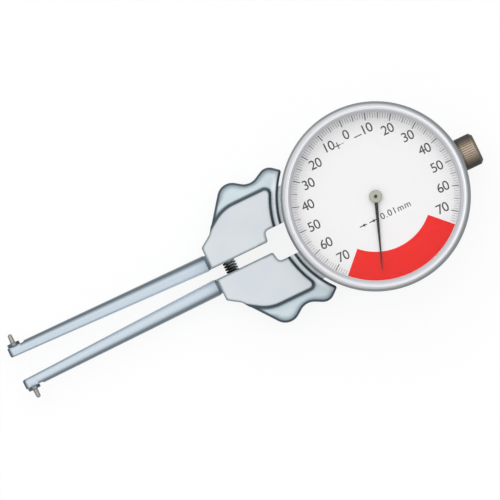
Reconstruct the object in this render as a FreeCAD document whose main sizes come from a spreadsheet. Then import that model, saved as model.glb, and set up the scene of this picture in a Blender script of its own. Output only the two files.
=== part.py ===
import FreeCAD, Part
import math
import os
import re
import Sketcher

# Dial caliper gauge for bores, in millimetres. The origin lies on the dial's axis in the plane of
# the rear cover. +Z leaves the dial, +X points at the knurled cap and -X along the two legs.

V = FreeCAD.Vector
doc = FreeCAD.newDocument("DialCaliperGauge")

SIZES = {
    # case, a cup with one web across it: levers below the web, movement above it
    "case_r": 27.0, "case_wall": 2.0, "lever_room": 10.0, "web_thick": 1.2, "movement_room": 4.6,
    "window_swing": 0.6, "window_side": 1.0, "clip_groove": 0.5, "clip_drop": 2.0,
    "clip_high": 0.6, "cover_thick": 1.8, "cover_chamfer": 0.4,
    # spindle, its bearings, foot and cap
    "spindle_drop": 3.2, "spindle_r": 1.8, "spindle_gap": 0.04, "spindle_nose": 0.4,
    "front_boss_long": 5.0, "boss_wall": 1.36, "lug_front": -6.0, "lug_long": 3.0,
    "lug_wall": 1.16, "rear_boss_long": 4.0, "rear_boss_wall": 1.76,
    "shoulder_r": 4.4, "shoulder_long": 1.0, "neck_r": 3.6, "neck_long": 3.4,
    "cap_r": 5.0, "cap_gap": 0.1, "cap_long": 5.95, "cap_chamfer": 0.9, "cap_cavity": 0.5,
    "cap_floor": 1.2, "cap_thread": 0.02, "knurl_count": 44, "knurl_depth": 0.2,
    "knurl_half": 0.2, "knurl_margin": 0.8,
    "foot_ahead": 5.0, "foot_thick": 2.4, "foot_wall": 1.0, "foot_half": 2.6, "foot_bottom": 3.0,
    # toothing of the movement: module, play, and the rack's place on the spindle
    "gear_module": 0.2, "gear_play": 0.05, "pinion_teeth": 12, "wheel_teeth": 100,
    "takeup_teeth": 60, "rack_pitch_y": 1.4, "rack_spaces": 9, "flat_half": 5.0,
    "first_x": 12.0, "takeup_turn": 135.0, "arbor_r": 0.6, "arbor_gap": 0.04,
    "pivot_tip_r": 0.3, "pivot_gap": 0.03, "pivot_deep": 0.7, "pivot_cover": 0.2, "end_play": 0.05,
    "centre_shaft_r": 0.5, "centre_over": 0.35, "pinion_one_h": 1.4,
    "wheel_clear": 0.4, "wheel_apart": 0.7, "wheel_h": 0.7, "pinion_over": 0.1,
    "crossing_in": 2.4, "crossing_out": 8.4, "spoke_half": 0.6, "takeup_crossing_out": 4.6,
    "collet_r": 1.2, "collet_clear": 0.15, "collet_high": 0.95, "hair_growth": 0.8,
    "hair_turns": 4, "hair_thick": 0.12, "hair_high": 0.4, "hair_up": 0.25, "stud_r": 0.4,
    "bridge_margin": 1.6, "bridge_thick": 1.2, "pillar_r": 2.0, "pillar_spigot_r": 1.0,
    "bridge_screw_r": 0.8, "bridge_head_r": 1.6, "bridge_head_h": 0.65,
    "bridge_screw_deep": 1.6, "slot_width": 0.4, "slot_depth": 0.3,
    # dial, hand, bezel and crystal
    "dial_margin": 0.8, "dial_over": 0.8, "dial_thick": 0.6, "dial_hole_gap": 0.3,
    "ring_wall": 0.9, "ring_high": 2.4, "crystal_thick": 1.5, "skirt_gap": 0.15,
    "dial_ledge": 0.4, "bezel_wall": 1.5, "bezel_skirt": 1.6, "bezel_lip": 1.1,
    "bezel_edge": 0.3, "bevel_high": 2.0, "bevel_wide": 0.9, "crown_edge": 0.5,
    "crown_slope": 1.0, "inner_drop": 0.7, "clip_gap": 0.1, "clip_wide": 0.9,
    "hub_r": 1.9, "hub_over": 0.5, "hub_neck_high": 0.5, "hub_high": 0.55, "hub_neck_r": 1.2,
    "hand_h": 0.2, "hand_short": 3.3, "hand_root_half": 0.55, "hand_tip_half": 0.14,
    "hand_eye_r": 1.7, "hand_turn": 249.5,
    # handles: their place from the bezel and pins, outline corners, and the raised plate
    "pivot_in": 5.0, "pivot_y": 12.0, "pivot_r": 1.5, "pivot_bore_gap": 0.03,
    "pin_seat": 1.4, "pin_seat_top": 0.8, "handle_bottom": 1.5, "wing_top": 12.6,
    "plate_high": 2.0, "handle_gap": 0.8, "handle_long": 24.45, "inner_y": 1.7,
    "front_y": 8.7, "front_round": 0.8, "waist_back": 3.9, "waist_y": 11.3, "waist_round": 3.0,
    "horn_back": 13.95, "horn_y": 24.55, "horn_round": 4.55,
    "trough_ahead": 3.19, "trough_y": 19.3, "trough_round": 4.5,
    "heel_behind": 3.33, "heel_y": 22.7, "heel_round": 3.5, "heel_end_y": 19.4,
    "notch_y": 5.0, "notch_ahead": 5.1, "notch_round": 1.4, "throat_lean": 0.6,
    "throat_round": 0.6, "rear_round": 0.8, "edge_round": 0.9, "bottom_round": 0.7,
    "step_back": 5.4, "step_y": 13.45, "step_bend_back": 10.6, "step_line_y": 16.9,
    "step_bend": 12.0, "step_ahead": 2.0, "step_corner": 1.9, "step_bevel": 0.75,
    "tongue_side": 3.4, "tongue_clear": 0.4, "tongue_top": 9.5, "shoulder_top": 11.3, "shoulder_gap": 0.5, "sector_top": 6.2,
    "tongue_bend": 3.6, "tongue_root": 3.0, "eye_wall": 2.47,
    "sync_below": 1.25, "sync_above": 1.0, "sync_root_half": 5.2, "sync_tip_half": 1.7,
    "nose_arm": 10.5316, "nose_r": 0.5, "nose_gap": 0.01,
    # legs, their screws and the contact points
    "leg_y": 3.96, "leg_up": 4.7, "leg_splay": 1.29, "leg_long": 65.8, "leg_shoulder": 0.71,
    "leg_tip_r": 1.68, "shank_r": 1.8, "shank_long": 8.0, "root_gap": 0.06, "groove_edge": 0.5,
    "groove_end": 0.75, "tip_round": 0.6, "flat_y": 1.32, "flat_long": 5.2, "flat_slope": 1.6,
    "point_back": 2.33, "point_shank_r": 0.8, "point_shank": 2.0, "collar_r": 1.95,
    "collar_high": 1.02, "pin_root_r": 0.8, "pin_tip_r": 0.66, "pin_long": 2.75,
    "grub_r": 1.0, "grub_back": 4.2, "grub_sunk": 0.4, "hex_r": 0.55, "hex_deep": 1.1,
    # springs
    "spring_back": 5.45, "spring_up": 4.8, "spring_pocket_r": 2.35, "spring_seat": 6.35,
    "spring_clear": 0.5, "spring_wire": 0.3, "spring_turns": 14,
    "return_clear": 0.5, "return_wire": 0.22, "return_turns": 7,
    # rear screws
    "cover_screw_r": 1.0, "cover_head_r": 1.9, "cover_head_h": 0.9, "screw_tip_wall": 0.8,
    "cover_boss_r": 2.2, "cover_boss_top": 6.0, "cover_screw_in": 1.9, "head_below": 0.06,
}

# What follows from those sizes: each piece that fits in, seats on or clears another one.
FITS = {
    # radii and heights of the case
    "case_bore_r": "case_r - case_wall", "case_bottom": "cover_thick",
    "web_bottom": "case_bottom + lever_room", "web_top": "web_bottom + web_thick",
    "case_top": "web_top + movement_room", "clip_groove_r": "case_r - clip_groove",
    "clip_bottom": "case_top - clip_drop", "clip_top": "clip_bottom + clip_high",
    # spindle line
    "spindle_z": "web_bottom - spindle_drop", "spindle_bore_r": "spindle_r + spindle_gap",
    "spindle_front": "-(case_bore_r + spindle_nose)",
    "front_boss_end": "-(case_bore_r - front_boss_long)",
    "front_boss_half": "spindle_bore_r + boss_wall", "front_boss_z": "sector_top + 0.5",
    "lug_back": "lug_front + lug_long", "lug_half": "spindle_bore_r + lug_wall",
    "lug_z": "spindle_z - lug_half + 0.3", "rear_boss_front": "case_bore_r - rear_boss_long",
    "rear_boss_half": "spindle_bore_r + rear_boss_wall", "rear_boss_z": "spindle_z - rear_boss_half",
    "shoulder_end": "case_r + shoulder_long", "neck_end": "shoulder_end + neck_long",
    "spindle_back": "neck_end - 0.3", "cap_front": "shoulder_end + cap_gap",
    "cap_end": "cap_front + cap_long", "cap_cavity_r": "spindle_r + cap_cavity",
    "cap_cavity_end": "cap_end - cap_floor", "cap_thread_r": "neck_r + cap_thread",
    "knurl_front": "cap_front + knurl_margin", "knurl_end": "cap_end - cap_chamfer - 0.3",
    # train
    "first_y": "-(rack_pitch_y + gear_module * pinion_teeth / 2)",
    "flat_front": "first_x - flat_half", "flat_back": "first_x + flat_half",
    "pivot_hole_r": "pivot_tip_r + pivot_gap", "arbor_hole_r": "arbor_r + arbor_gap",
    "pivot_tip_z": "web_top - pivot_deep", "arbor_foot_z": "web_top + end_play",
    "pinion_one_z": "spindle_z - pinion_one_h / 2", "arbor_one_foot": "pinion_one_z - 0.2",
    "wheel_one_z": "web_top + wheel_clear", "wheel_two_z": "wheel_one_z + wheel_h + wheel_apart",
    "bridge_r": "case_bore_r - bridge_margin", "bridge_z": "wheel_two_z + wheel_h + wheel_apart",
    "bridge_top": "bridge_z + bridge_thick", "arbor_head_z": "bridge_z - end_play",
    "pivot_top_z": "bridge_top - pivot_cover", "centre_hole_r": "centre_shaft_r + pivot_gap",
    "collet_z": "web_top + collet_clear", "collet_top": "collet_z + collet_high",
    "hair_z": "collet_z + hair_up", "bridge_screw_end": "bridge_z - bridge_screw_deep",
    # face
    "dial_r": "case_r - dial_margin", "dial_z": "case_top + dial_over",
    "dial_top": "dial_z + dial_thick", "dial_hole_r": "hub_neck_r + dial_hole_gap",
    "ring_in_r": "dial_r - ring_wall", "ring_top": "dial_top + ring_high",
    "crystal_top": "ring_top + crystal_thick", "skirt_r": "case_r + skirt_gap",
    "skirt_top": "dial_z - dial_ledge", "bezel_r": "case_r + bezel_wall",
    "bezel_bottom": "clip_bottom - bezel_skirt", "bezel_top": "crystal_top + bezel_lip",
    "bevel_bottom": "bezel_top - bevel_high", "bevel_r": "bezel_r - bevel_wide",
    "bevel_top": "bezel_top - crown_edge", "crown_out_r": "bevel_r - crown_edge",
    "crown_in_r": "ring_in_r + crown_slope", "inner_slope": "bezel_top - inner_drop",
    "clip_in_r": "clip_groove_r + clip_gap", "clip_out_r": "clip_in_r + clip_wide",
    "hub_z": "dial_top + hub_over", "hub_step": "hub_z + hub_neck_high",
    "hub_top": "hub_step + hub_high", "centre_top_z": "hub_top + centre_over",
    "hand_tip": "ring_in_r - hand_short",
    # levers
    "pivot_x": "-(case_bore_r - pivot_in)", "pivot_bore_r": "pivot_r + pivot_bore_gap",
    "pin_foot": "cover_thick - pin_seat", "pin_head": "web_bottom + pin_seat_top",
    "foot_front": "pivot_x + foot_ahead", "foot_back": "foot_front + foot_thick",
    "foot_r": "spindle_r + foot_wall", "plate_top": "wing_top + plate_high",
    "rear_r": "bezel_r + handle_gap", "front_x": "-(rear_r + handle_long)",
    "waist_x": "front_x + waist_back", "horn_x": "front_x + horn_back",
    "trough_x": "-(rear_r + trough_ahead)", "heel_x": "-(rear_r - heel_behind)",
    "notch_x": "-(rear_r + notch_ahead)", "throat_x": "notch_x - throat_lean",
    "step_x": "front_x + step_back", "step_bend_x": "front_x + step_bend_back",
    "step_rear_r": "rear_r + step_ahead", "tongue_out_y": "pivot_y + tongue_side",
    "tongue_bottom": "cover_thick + tongue_clear", "shoulder_in_r": "case_r + shoulder_gap",
    "tongue_bend_x": "pivot_x - tongue_bend",
    "tongue_side_x": "pivot_x + tongue_root", "eye_r": "pivot_bore_r + eye_wall",
    "sync_root_r": "pivot_y - sync_below", "sync_tip_r": "pivot_y + sync_above",
    "window_inner": "notch_y - window_swing", "window_outer": "tongue_out_y + window_side",
    "window_top": "tongue_top + window_swing",
    # legs, points and springs
    "leg_z": "handle_bottom + leg_up", "leg_root_r": "shank_r + leg_shoulder",
    "groove_r": "shank_r + groove_edge", "point_x": "-(leg_long - point_back)",
    "collar_end": "flat_y + collar_high", "pin_end": "collar_end + pin_long",
    "grub_x": "front_x + grub_back", "grub_z": "handle_bottom + grub_sunk",
    "spring_x": "front_x + spring_back", "spring_z": "leg_z + spring_up",
    "spring_r": "spring_pocket_r - spring_clear", "return_r": "spindle_r + return_clear",
    "cover_screw_circle": "case_bore_r - cover_screw_in",
    "cover_screw_end": "cover_boss_top - screw_tip_wall",
}
COVER_SCREW_TURNS = (50, 120, 240, 310)
PILLAR_PLACES = (("-16", "-8"), ("-4", "18"), ("17", "12"))

sheet = doc.addObject("Spreadsheet::Sheet", "Sizes")
rows = [(name, str(number)) for name, number in SIZES.items()]
rows += [(name, "=" + text) for name, text in FITS.items()]
for row, (name, text) in enumerate(rows, 1):
    sheet.set("A%d" % row, name)
    sheet.set("B%d" % row, text)
    sheet.setAlias("B%d" % row, name)
    if text.startswith("="):
        doc.recompute()
doc.recompute()


def value(text):
    """The number that an expression of sheet names gives."""
    result = sheet.evalExpression(str(text))
    return float(getattr(result, "Value", result))


def bound(text):
    """The same expression, with each sheet name made readable from another object."""
    return re.sub(r"\b[a-z]+(?:_[a-z]+)+\b", lambda hit: "Sizes." + hit.group(0), str(text))


def bind(item, **sizes):
    for prop, text in sizes.items():
        item.setExpression(prop.replace("__", "."), bound(text))


def body(label, x="0", y="0", z="0", turn=0.0):
    item = doc.addObject("PartDesign::Body", label)
    item.Label = label
    item.Placement = FreeCAD.Placement(V(), FreeCAD.Rotation(V(0, 0, 1), turn))
    bind(item, Placement__Base__x=x, Placement__Base__y=y, Placement__Base__z=z)
    return item


def origin_of(item, role):
    return [part for part in item.Origin.OriginFeatures if part.Role == role][0]


def sketch(item, plane="XY_Plane", offset="0"):
    result = item.newObject("Sketcher::SketchObject", item.Label + "_sketch")
    result.AttachmentSupport = [(origin_of(item, plane), "")]
    result.MapMode = "FlatFace"
    bind(result, AttachmentOffset__Base__z=offset)
    return result


def fix(drawing, index, place, x, y):
    """Ties a sketch point to two expressions, measured from the sketch's origin."""
    for kind, text, axis in (("DistanceX", x, -2), ("DistanceY", y, -1)):
        if text.startswith("@"):
            continue
        if abs(value(text)) < 1e-9:
            drawing.addConstraint(Sketcher.Constraint("PointOnObject", index, place, axis))
            continue
        tie = Sketcher.Constraint(kind, -1, 1, index, place, value(text))
        number = drawing.addConstraint(tie)
        drawing.setExpression("Constraints[%d]" % number, bound(text))


def rounded(before, corner, after, radius):
    """Both tangent points, the arc's centre and its sense at a rounded corner."""
    back = (before - corner).normalize()
    ahead = (after - corner).normalize()
    half = back.getAngle(ahead) / 2
    reach = radius / math.tan(half)
    middle = (back + ahead).normalize()
    centre = corner + middle * (radius / math.sin(half))
    return corner + back * reach, corner + ahead * reach, centre, back.cross(ahead).z > 0


def point_of(corner):
    """Where a corner lies. An x written "@radius" puts it on that circle, on the side of the legs."""
    y = value(corner[1])
    if corner[0].startswith("@"):
        return V(-math.sqrt(value(corner[0][1:]) ** 2 - y ** 2), y, 0)
    return V(value(corner[0]), y, 0)


def bow(drawing, first, last, radius):
    """An arc about the sketch's origin. Gives its index and the point numbers of its two ends."""
    angles = [math.atan2(p.y, p.x) for p in (first, last)]
    ends = (1, 2) if angles[0] < angles[1] else (2, 1)
    ring = Part.Circle(V(), V(0, 0, 1), value(radius))
    index = drawing.addGeometry(Part.ArcOfCircle(ring, min(angles), max(angles)), False)
    drawing.addConstraint(Sketcher.Constraint("Coincident", index, 3, -1, 1))
    number = drawing.addConstraint(Sketcher.Constraint("Radius", index, value(radius)))
    drawing.setExpression("Constraints[%d]" % number, bound(radius))
    return (index,) + ends


def outline(drawing, corners):
    """A closed outline. Each corner is (x, y) or, where it is rounded, (x, y, radius)."""
    count = len(corners)
    points = [point_of(c) for c in corners]
    starts, ends, arcs = list(points), list(points), {}
    for i, corner in enumerate(corners):
        if len(corner) == 3:
            spot = rounded(points[i - 1], points[i], points[(i + 1) % count], value(corner[2]))
            ends[i], starts[i], arcs[i] = spot[0], spot[1], spot[2:]
    sides = []
    for i, corner in enumerate(corners):
        after = (i + 1) % count
        if corner[0].startswith("@") and corners[after][0] == corner[0]:
            sides.append(bow(drawing, points[i], points[after], corner[0][1:]))
            continue
        edge = Part.LineSegment(starts[i], ends[after])
        sides.append((drawing.addGeometry(edge, False), 1, 2))
    for i, corner in enumerate(corners):
        before, here = sides[i - 1], sides[i]
        if i in arcs:
            round_corner(drawing, corner, before[0], here[0], points[i], ends[i], starts[i], arcs[i])
            continue
        meet = Sketcher.Constraint("Coincident", before[0], before[2], here[0], here[1])
        drawing.addConstraint(meet)
        fix(drawing, here[0], here[1], corner[0], corner[1])


def round_corner(drawing, corner, line_in, line_out, point, first, last, arc):
    """Puts a tangent arc between two lines and ties their meeting point and its radius."""
    centre, clockwise = arc
    radius = value(corner[2])
    angles = [math.atan2(p.y - centre.y, p.x - centre.x) for p in (first, last)]
    if clockwise:
        angles.reverse()
    circle = Part.Circle(centre, V(0, 0, 1), radius)
    bend = drawing.addGeometry(Part.ArcOfCircle(circle, *angles), False)
    near, far = (2, 1) if clockwise else (1, 2)
    drawing.addConstraint(Sketcher.Constraint("Tangent", line_in, 2, bend, near))
    drawing.addConstraint(Sketcher.Constraint("Tangent", line_out, 1, bend, far))
    number = drawing.addConstraint(Sketcher.Constraint("Radius", bend, radius))
    drawing.setExpression("Constraints[%d]" % number, bound(corner[2]))
    mark = drawing.addGeometry(Part.Point(point), True)
    drawing.addConstraint(Sketcher.Constraint("PointOnObject", mark, 1, line_in))
    drawing.addConstraint(Sketcher.Constraint("PointOnObject", mark, 1, line_out))
    fix(drawing, mark, 1, corner[0], corner[1])


def circle(drawing, x, y, radius):
    ring = Part.Circle(V(value(x), value(y), 0), V(0, 0, 1), value(radius))
    index = drawing.addGeometry(ring, False)
    fix(drawing, index, 3, x, y)
    number = drawing.addConstraint(Sketcher.Constraint("Radius", index, value(radius)))
    drawing.setExpression("Constraints[%d]" % number, bound(radius))


def extrude(item, kind, drawing, length, flip=False, both=False):
    """A pad or pocket of a sketch, checked to have changed the body the right way."""
    before = item.Shape.Volume if item.Tip else 0
    result = item.newObject("PartDesign::" + kind, item.Label + "_" + kind.lower())
    result.Profile = drawing
    bind(result, Length=length)
    result.Reversed = flip
    result.Midplane = both
    doc.recompute()
    grown = result.Shape.Volume - before
    if (kind == "Pad") != (grown > 0):
        raise RuntimeError("%s of %s changed the volume by %.4f" % (kind, item.Label, grown))
    return result


def pad(item, drawing, length, **ways):
    return extrude(item, "Pad", drawing, length, **ways)


def pocket(item, drawing, length, **ways):
    return extrude(item, "Pocket", drawing, length, **ways)


def turned(item, corners, plane="XZ_Plane", axis="V_Axis"):
    """A solid of revolution from its half section."""
    drawing = sketch(item, plane)
    outline(drawing, corners)
    result = item.newObject("PartDesign::Revolution", item.Label + "_turned")
    result.Profile = drawing
    result.ReferenceAxis = (drawing, [axis])
    result.Angle = 360
    doc.recompute()
    return result


def hole(item, x, y, radius, start, depth, flip=False):
    """A round hole along Z: it starts at a height and goes down, or up when flipped."""
    drawing = sketch(item, offset=start)
    circle(drawing, x, y, radius)
    return pocket(item, drawing, depth, flip=flip)


def dress(item, kind, test, size):
    """Rounds or bevels every edge whose middle point passes the test."""
    last = item.Tip
    names = []
    for number, edge in enumerate(last.Shape.Edges, 1):
        middle = edge.valueAt((edge.FirstParameter + edge.LastParameter) / 2)
        if test(middle, edge):
            names.append("Edge%d" % number)
    if not names:
        raise RuntimeError("no edge found to dress on " + item.Label)
    result = item.newObject("PartDesign::" + kind, item.Label + "_" + kind.lower())
    result.Base = (last, names)
    bind(result, **{"Radius" if kind == "Fillet" else "Size": size})
    doc.recompute()
    if "Invalid" in result.State:
        raise RuntimeError("%s of %s failed on %s" % (kind, item.Label, names))
    return result


def around(item, feature, count, angle=360):
    """Repeats a feature round the body's own Z axis."""
    result = item.newObject("PartDesign::PolarPattern", item.Label + "_around")
    result.Originals = [feature]
    result.Axis = (origin_of(item, "Z_Axis"), [""])
    result.Angle = angle
    bind(result, Occurrences=count)
    item.Tip = result
    doc.recompute()
    return result


def primitive(kind, label, x="0", y="0", z="0", **sizes):
    item = doc.addObject("Part::" + kind, label)
    bind(item, Placement__Base__x=x, Placement__Base__y=y, Placement__Base__z=z, **sizes)
    doc.recompute()
    return item


def joined(label, shapes):
    item = doc.addObject("Part::MultiFuse", label)
    item.Shapes = shapes
    doc.recompute()
    return item


def cut(label, base, tool):
    item = doc.addObject("Part::Cut", label)
    item.Base = base
    item.Tool = tool
    doc.recompute()
    return item


def group(label, shapes):
    item = doc.addObject("Part::Compound", label)
    item.Links = shapes
    doc.recompute()
    return item


# The case: a turned cup with a web, cut open at the front for the two levers.

def make_case():
    case = body("case")
    turned(case, [
        ("0", "web_bottom"), ("case_bore_r", "web_bottom"), ("case_bore_r", "case_bottom"),
        ("case_r", "case_bottom"), ("case_r", "clip_bottom - 0.1"),
        ("clip_groove_r", "clip_bottom - 0.1"), ("clip_groove_r", "clip_top + 0.1"),
        ("case_r", "clip_top + 0.1"), ("case_r", "case_top"), ("case_bore_r", "case_top"),
        ("case_bore_r", "web_top"), ("0", "web_top"),
    ])
    for side in (1, -1):
        window = sketch(case, "YZ_Plane")
        near, far = "%d * window_inner" % side, "%d * window_outer" % side
        low = "case_bottom - 1"
        outline(window, [(near, low), (far, low), (far, "window_top"), (near, "window_top")])
        pocket(case, window, "case_r + 1")
    spindle_bearings(case)
    for turn in COVER_SCREW_TURNS:
        x, y = screw_place(turn)
        post = sketch(case, offset="case_bottom")
        circle(post, x, y, "cover_boss_r")
        pad(case, post, "cover_boss_top - case_bottom")
        hole(case, x, y, "cover_screw_r", "case_bottom", "cover_screw_end - case_bottom", flip=True)
    movement_seats(case)
    return case


def screw_place(turn):
    return ("cover_screw_circle * cos(%d)" % turn, "cover_screw_circle * sin(%d)" % turn)


def spindle_bearings(case):
    """Three lugs under the web, the outer shoulder and neck, and one bore through them all."""
    blocks = (
        ("-case_bore_r - 1", "front_boss_end", "front_boss_half", "front_boss_z"),
        ("lug_front", "lug_back", "lug_half", "lug_z"),
        ("rear_boss_front", "case_bore_r + 1", "rear_boss_half", "rear_boss_z"),
    )
    for start, end, half, low in blocks:
        block = sketch(case, "YZ_Plane", start)
        outline(block, [("-" + half, low), (half, low), (half, "web_bottom + 0.2"),
                        ("-" + half, "web_bottom + 0.2")])
        pad(case, block, "%s - (%s)" % (end, start))
    for radius, end in (("shoulder_r", "shoulder_end"), ("neck_r", "neck_end")):
        collar = sketch(case, "YZ_Plane", "case_bore_r + 1")
        circle(collar, "0", "spindle_z", radius)
        pad(case, collar, end + " - case_bore_r - 1")
    bore = sketch(case, "YZ_Plane", "spindle_front - 0.3")
    circle(bore, "0", "spindle_z", "spindle_bore_r")
    pocket(case, bore, "neck_end - spindle_front + 1", flip=True)


def movement_seats(case):
    """Bearings of the arbors, seats of the pillars, lever pins and hairspring stud in the web."""
    hole(case, "first_x", "first_y", "arbor_hole_r", "web_top", "web_top - web_bottom")
    for x, y in (SECOND, ("0", "0"), TAKEUP):
        hole(case, x, y, "pivot_hole_r", "web_top", "web_top - pivot_tip_z + 0.1")
    for x, y in PILLAR_PLACES:
        hole(case, x, y, "pillar_spigot_r", "web_top", "web_top - web_bottom")
    for side in (1, -1):
        hole(case, "pivot_x", "%d * pivot_y" % side, "pivot_r", "web_bottom",
             "pin_head - web_bottom", flip=True)
    hole(case, STUD[0], STUD[1], "stud_r", "web_top", "0.8")


def second_arbor_place():
    """Where a wheel's reach from the first arbor meets the same reach from the dial's axis."""
    reach = value("gear_module * (pinion_teeth + wheel_teeth) / 2")
    first = V(value("first_x"), value("first_y"), 0)
    aside = math.sqrt(reach ** 2 - (first.Length / 2) ** 2)
    spot = first * 0.5 + V(first.y, -first.x, 0).normalize() * aside
    return str(spot.x), str(spot.y)


SECOND = second_arbor_place()
TAKEUP_REACH = "gear_module * (pinion_teeth + takeup_teeth) / 2"
TAKEUP = (TAKEUP_REACH + " * cos(takeup_turn)", TAKEUP_REACH + " * sin(takeup_turn)")
STUD = (TAKEUP[0] + " + collet_r + hair_turns * hair_growth + hair_thick / 2", TAKEUP[1] + " - 0.45")


def make_rear_cover():
    cover = body("rear_cover")
    turned(cover, [
        ("0", "0"), ("case_r - cover_chamfer", "0"), ("case_r", "cover_chamfer"),
        ("case_r", "cover_thick"), ("0", "cover_thick"),
    ])
    for side in (1, -1):
        hole(cover, "pivot_x", "%d * pivot_y" % side, "pivot_r", "cover_thick",
             "cover_thick - pin_foot")
    for turn in COVER_SCREW_TURNS:
        x, y = screw_place(turn)
        hole(cover, x, y, "cover_screw_r", "cover_thick", "cover_thick")
        hole(cover, x, y, "cover_head_r", "0", "cover_head_h + head_below", flip=True)
    return cover


def make_cover_screws():
    screws = []
    for turn in COVER_SCREW_TURNS:
        x, y = screw_place(turn)
        head = primitive("Cylinder", "head", x, y, "head_below", Radius="cover_head_r",
                         Height="cover_head_h")
        shank = primitive("Cylinder", "shank", x, y, "head_below", Radius="cover_screw_r",
                          Height="cover_screw_end - head_below")
        slot = primitive("Box", "slot", x + " - 3", y + " - slot_width / 2", "-1", Length="6",
                         Width="slot_width", Height="1 + head_below + slot_depth")
        screws.append(cut("cover_screw", joined("screw_blank", [head, shank]), slot))
    return group("rear_cover_screws", screws)


def make_pivot_pins():
    pins = [primitive("Cylinder", "pin", "pivot_x", "%d * pivot_y" % side, "pin_foot",
                      Radius="pivot_r", Height="pin_head - pin_foot") for side in (1, -1)]
    return group("pivot_pins", pins)


# The handles: castings with two horns, a raised plate, and a tongue that reaches into the case.

def make_handle(label, side, teeth):
    handle = body(label)
    add_wing(handle, side)
    add_plate(handle, side)
    add_tongue(handle, side)
    add_sector(handle, side, teeth)
    hole(handle, "pivot_x", "%d * pivot_y" % side, "pivot_bore_r", "tongue_bottom", "20", flip=True)
    bore_handle(handle, side)
    return handle


def sided(side, corners):
    return [(c[0], "%d * (%s)" % (side, c[1])) + tuple(c[2:]) for c in corners]


def add_wing(handle, side):
    wing = sketch(handle, offset="handle_bottom")
    outline(wing, sided(side, [
        ("front_x", "inner_y"), ("front_x", "front_y", "front_round"),
        ("waist_x", "waist_y", "waist_round"), ("horn_x", "horn_y", "horn_round"),
        ("trough_x", "trough_y", "trough_round"), ("heel_x", "heel_y", "heel_round"),
        ("@rear_r", "heel_end_y"), ("@rear_r", "notch_y"),
        ("notch_x", "notch_y", "notch_round"), ("throat_x", "inner_y", "throat_round"),
    ]))
    pad(handle, wing, "wing_top - handle_bottom")
    rear, bottom, top = value("rear_r"), value("handle_bottom"), value("wing_top")

    def rear_corner(p, edge):
        upright = edge.BoundBox.ZLength > 5
        return upright and abs(math.hypot(p.x, p.y) - rear) < 0.01 and abs(p.y) > 15

    dress(handle, "Fillet", rear_corner, "rear_round")

    def outer(p):
        on_rear = abs(math.hypot(p.x, p.y) - rear) < 0.3
        return on_rear or abs(p.y) > value("front_y") - 1.2

    dress(handle, "Fillet", lambda p, e: abs(p.z - top) < 0.01 and outer(p), "edge_round")
    dress(handle, "Fillet", lambda p, e: abs(p.z - bottom) < 0.01 and outer(p), "bottom_round")


def add_plate(handle, side):
    plate = sketch(handle, offset="wing_top - edge_round - 0.2")
    outline(plate, sided(side, [
        ("front_x", "inner_y"), ("front_x", "front_y", "front_round"),
        ("waist_x", "waist_y", "waist_round"), ("step_x", "step_y"),
        ("step_bend_x", "step_line_y", "step_bend"), ("@step_rear_r", "step_line_y"),
        ("@step_rear_r", "notch_y"), ("notch_x", "notch_y", "notch_round"),
        ("throat_x", "inner_y", "throat_round"),
    ]))
    pad(handle, plate, "plate_top - wing_top + edge_round + 0.2")
    rear, top, line = value("step_rear_r"), value("plate_top"), value("step_line_y")

    def corner(p, edge):
        on_step = abs(math.hypot(p.x, p.y) - rear) < 0.02 and abs(abs(p.y) - line) < 0.02
        return on_step and p.z > value("wing_top") + 0.2

    dress(handle, "Fillet", corner, "step_corner")

    def step(p, edge):
        if abs(p.z - top) > 0.01:
            return False
        return p.x > value("step_x") + 0.1 and (abs(p.y) > 13 or math.hypot(p.x, p.y) < rear + 0.5)

    dress(handle, "Chamfer", step, "step_bevel")


def add_tongue(handle, side):
    tongue = sketch(handle, offset="tongue_bottom")
    outline(tongue, sided(side, [
        ("-rear_r - 3", "notch_y"), ("tongue_bend_x", "notch_y"),
        ("tongue_side_x", "pivot_y - eye_r + 1"), ("tongue_side_x", "tongue_out_y"),
        ("-rear_r - 1", "tongue_out_y"),
    ]))
    pad(handle, tongue, "tongue_top - tongue_bottom")
    shoulder = sketch(handle, offset="tongue_top - 0.5")
    outline(shoulder, sided(side, [
        ("-rear_r - 1", "notch_y"), ("@shoulder_in_r", "notch_y"),
        ("@shoulder_in_r", "tongue_out_y"), ("-rear_r - 1", "tongue_out_y"),
    ]))
    pad(handle, shoulder, "shoulder_top - tongue_top + 0.5")
    eye = sketch(handle, offset="tongue_bottom")
    circle(eye, "pivot_x", "%d * pivot_y" % side, "eye_r")
    pad(handle, eye, "tongue_top - tongue_bottom")


def polar(radius, turn):
    """A point at a radius and a turn about the upper lever's pin."""
    return ("pivot_x + (%s) * cos(%s)" % (radius, turn), "pivot_y + (%s) * sin(%s)" % (radius, turn))


def add_sector(handle, side, teeth):
    """The thin sector with the few teeth that keep both levers in step, and the spindle's nose."""
    corners = [("pivot_x - 3", "pivot_y - 1"), polar("sync_root_r", "-117")]
    for turn in teeth:
        corners += [
            polar("sync_root_r", "%s - sync_root_half" % turn),
            polar("sync_tip_r", "%s - sync_tip_half" % turn),
            polar("sync_tip_r", "%s + sync_tip_half" % turn),
            polar("sync_root_r", "%s + sync_root_half" % turn),
        ]
    face, line = "foot_front - nose_gap", "pivot_y - nose_arm"
    corners += [
        ("foot_front - 1.05", line + " + 0.5"), ("foot_front - 0.9", line + " - nose_r"),
        (face, line + " - nose_r", "nose_r - 0.02"), (face, line + " + nose_r", "nose_r - 0.02"),
        ("foot_front - 1.0", line + " + 1.4"), ("pivot_x + 3.2", "pivot_y - 1"),
    ]
    sector = sketch(handle, offset="tongue_bottom")
    outline(sector, sided(side, corners))
    pad(handle, sector, "sector_top - tongue_bottom")


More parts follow.
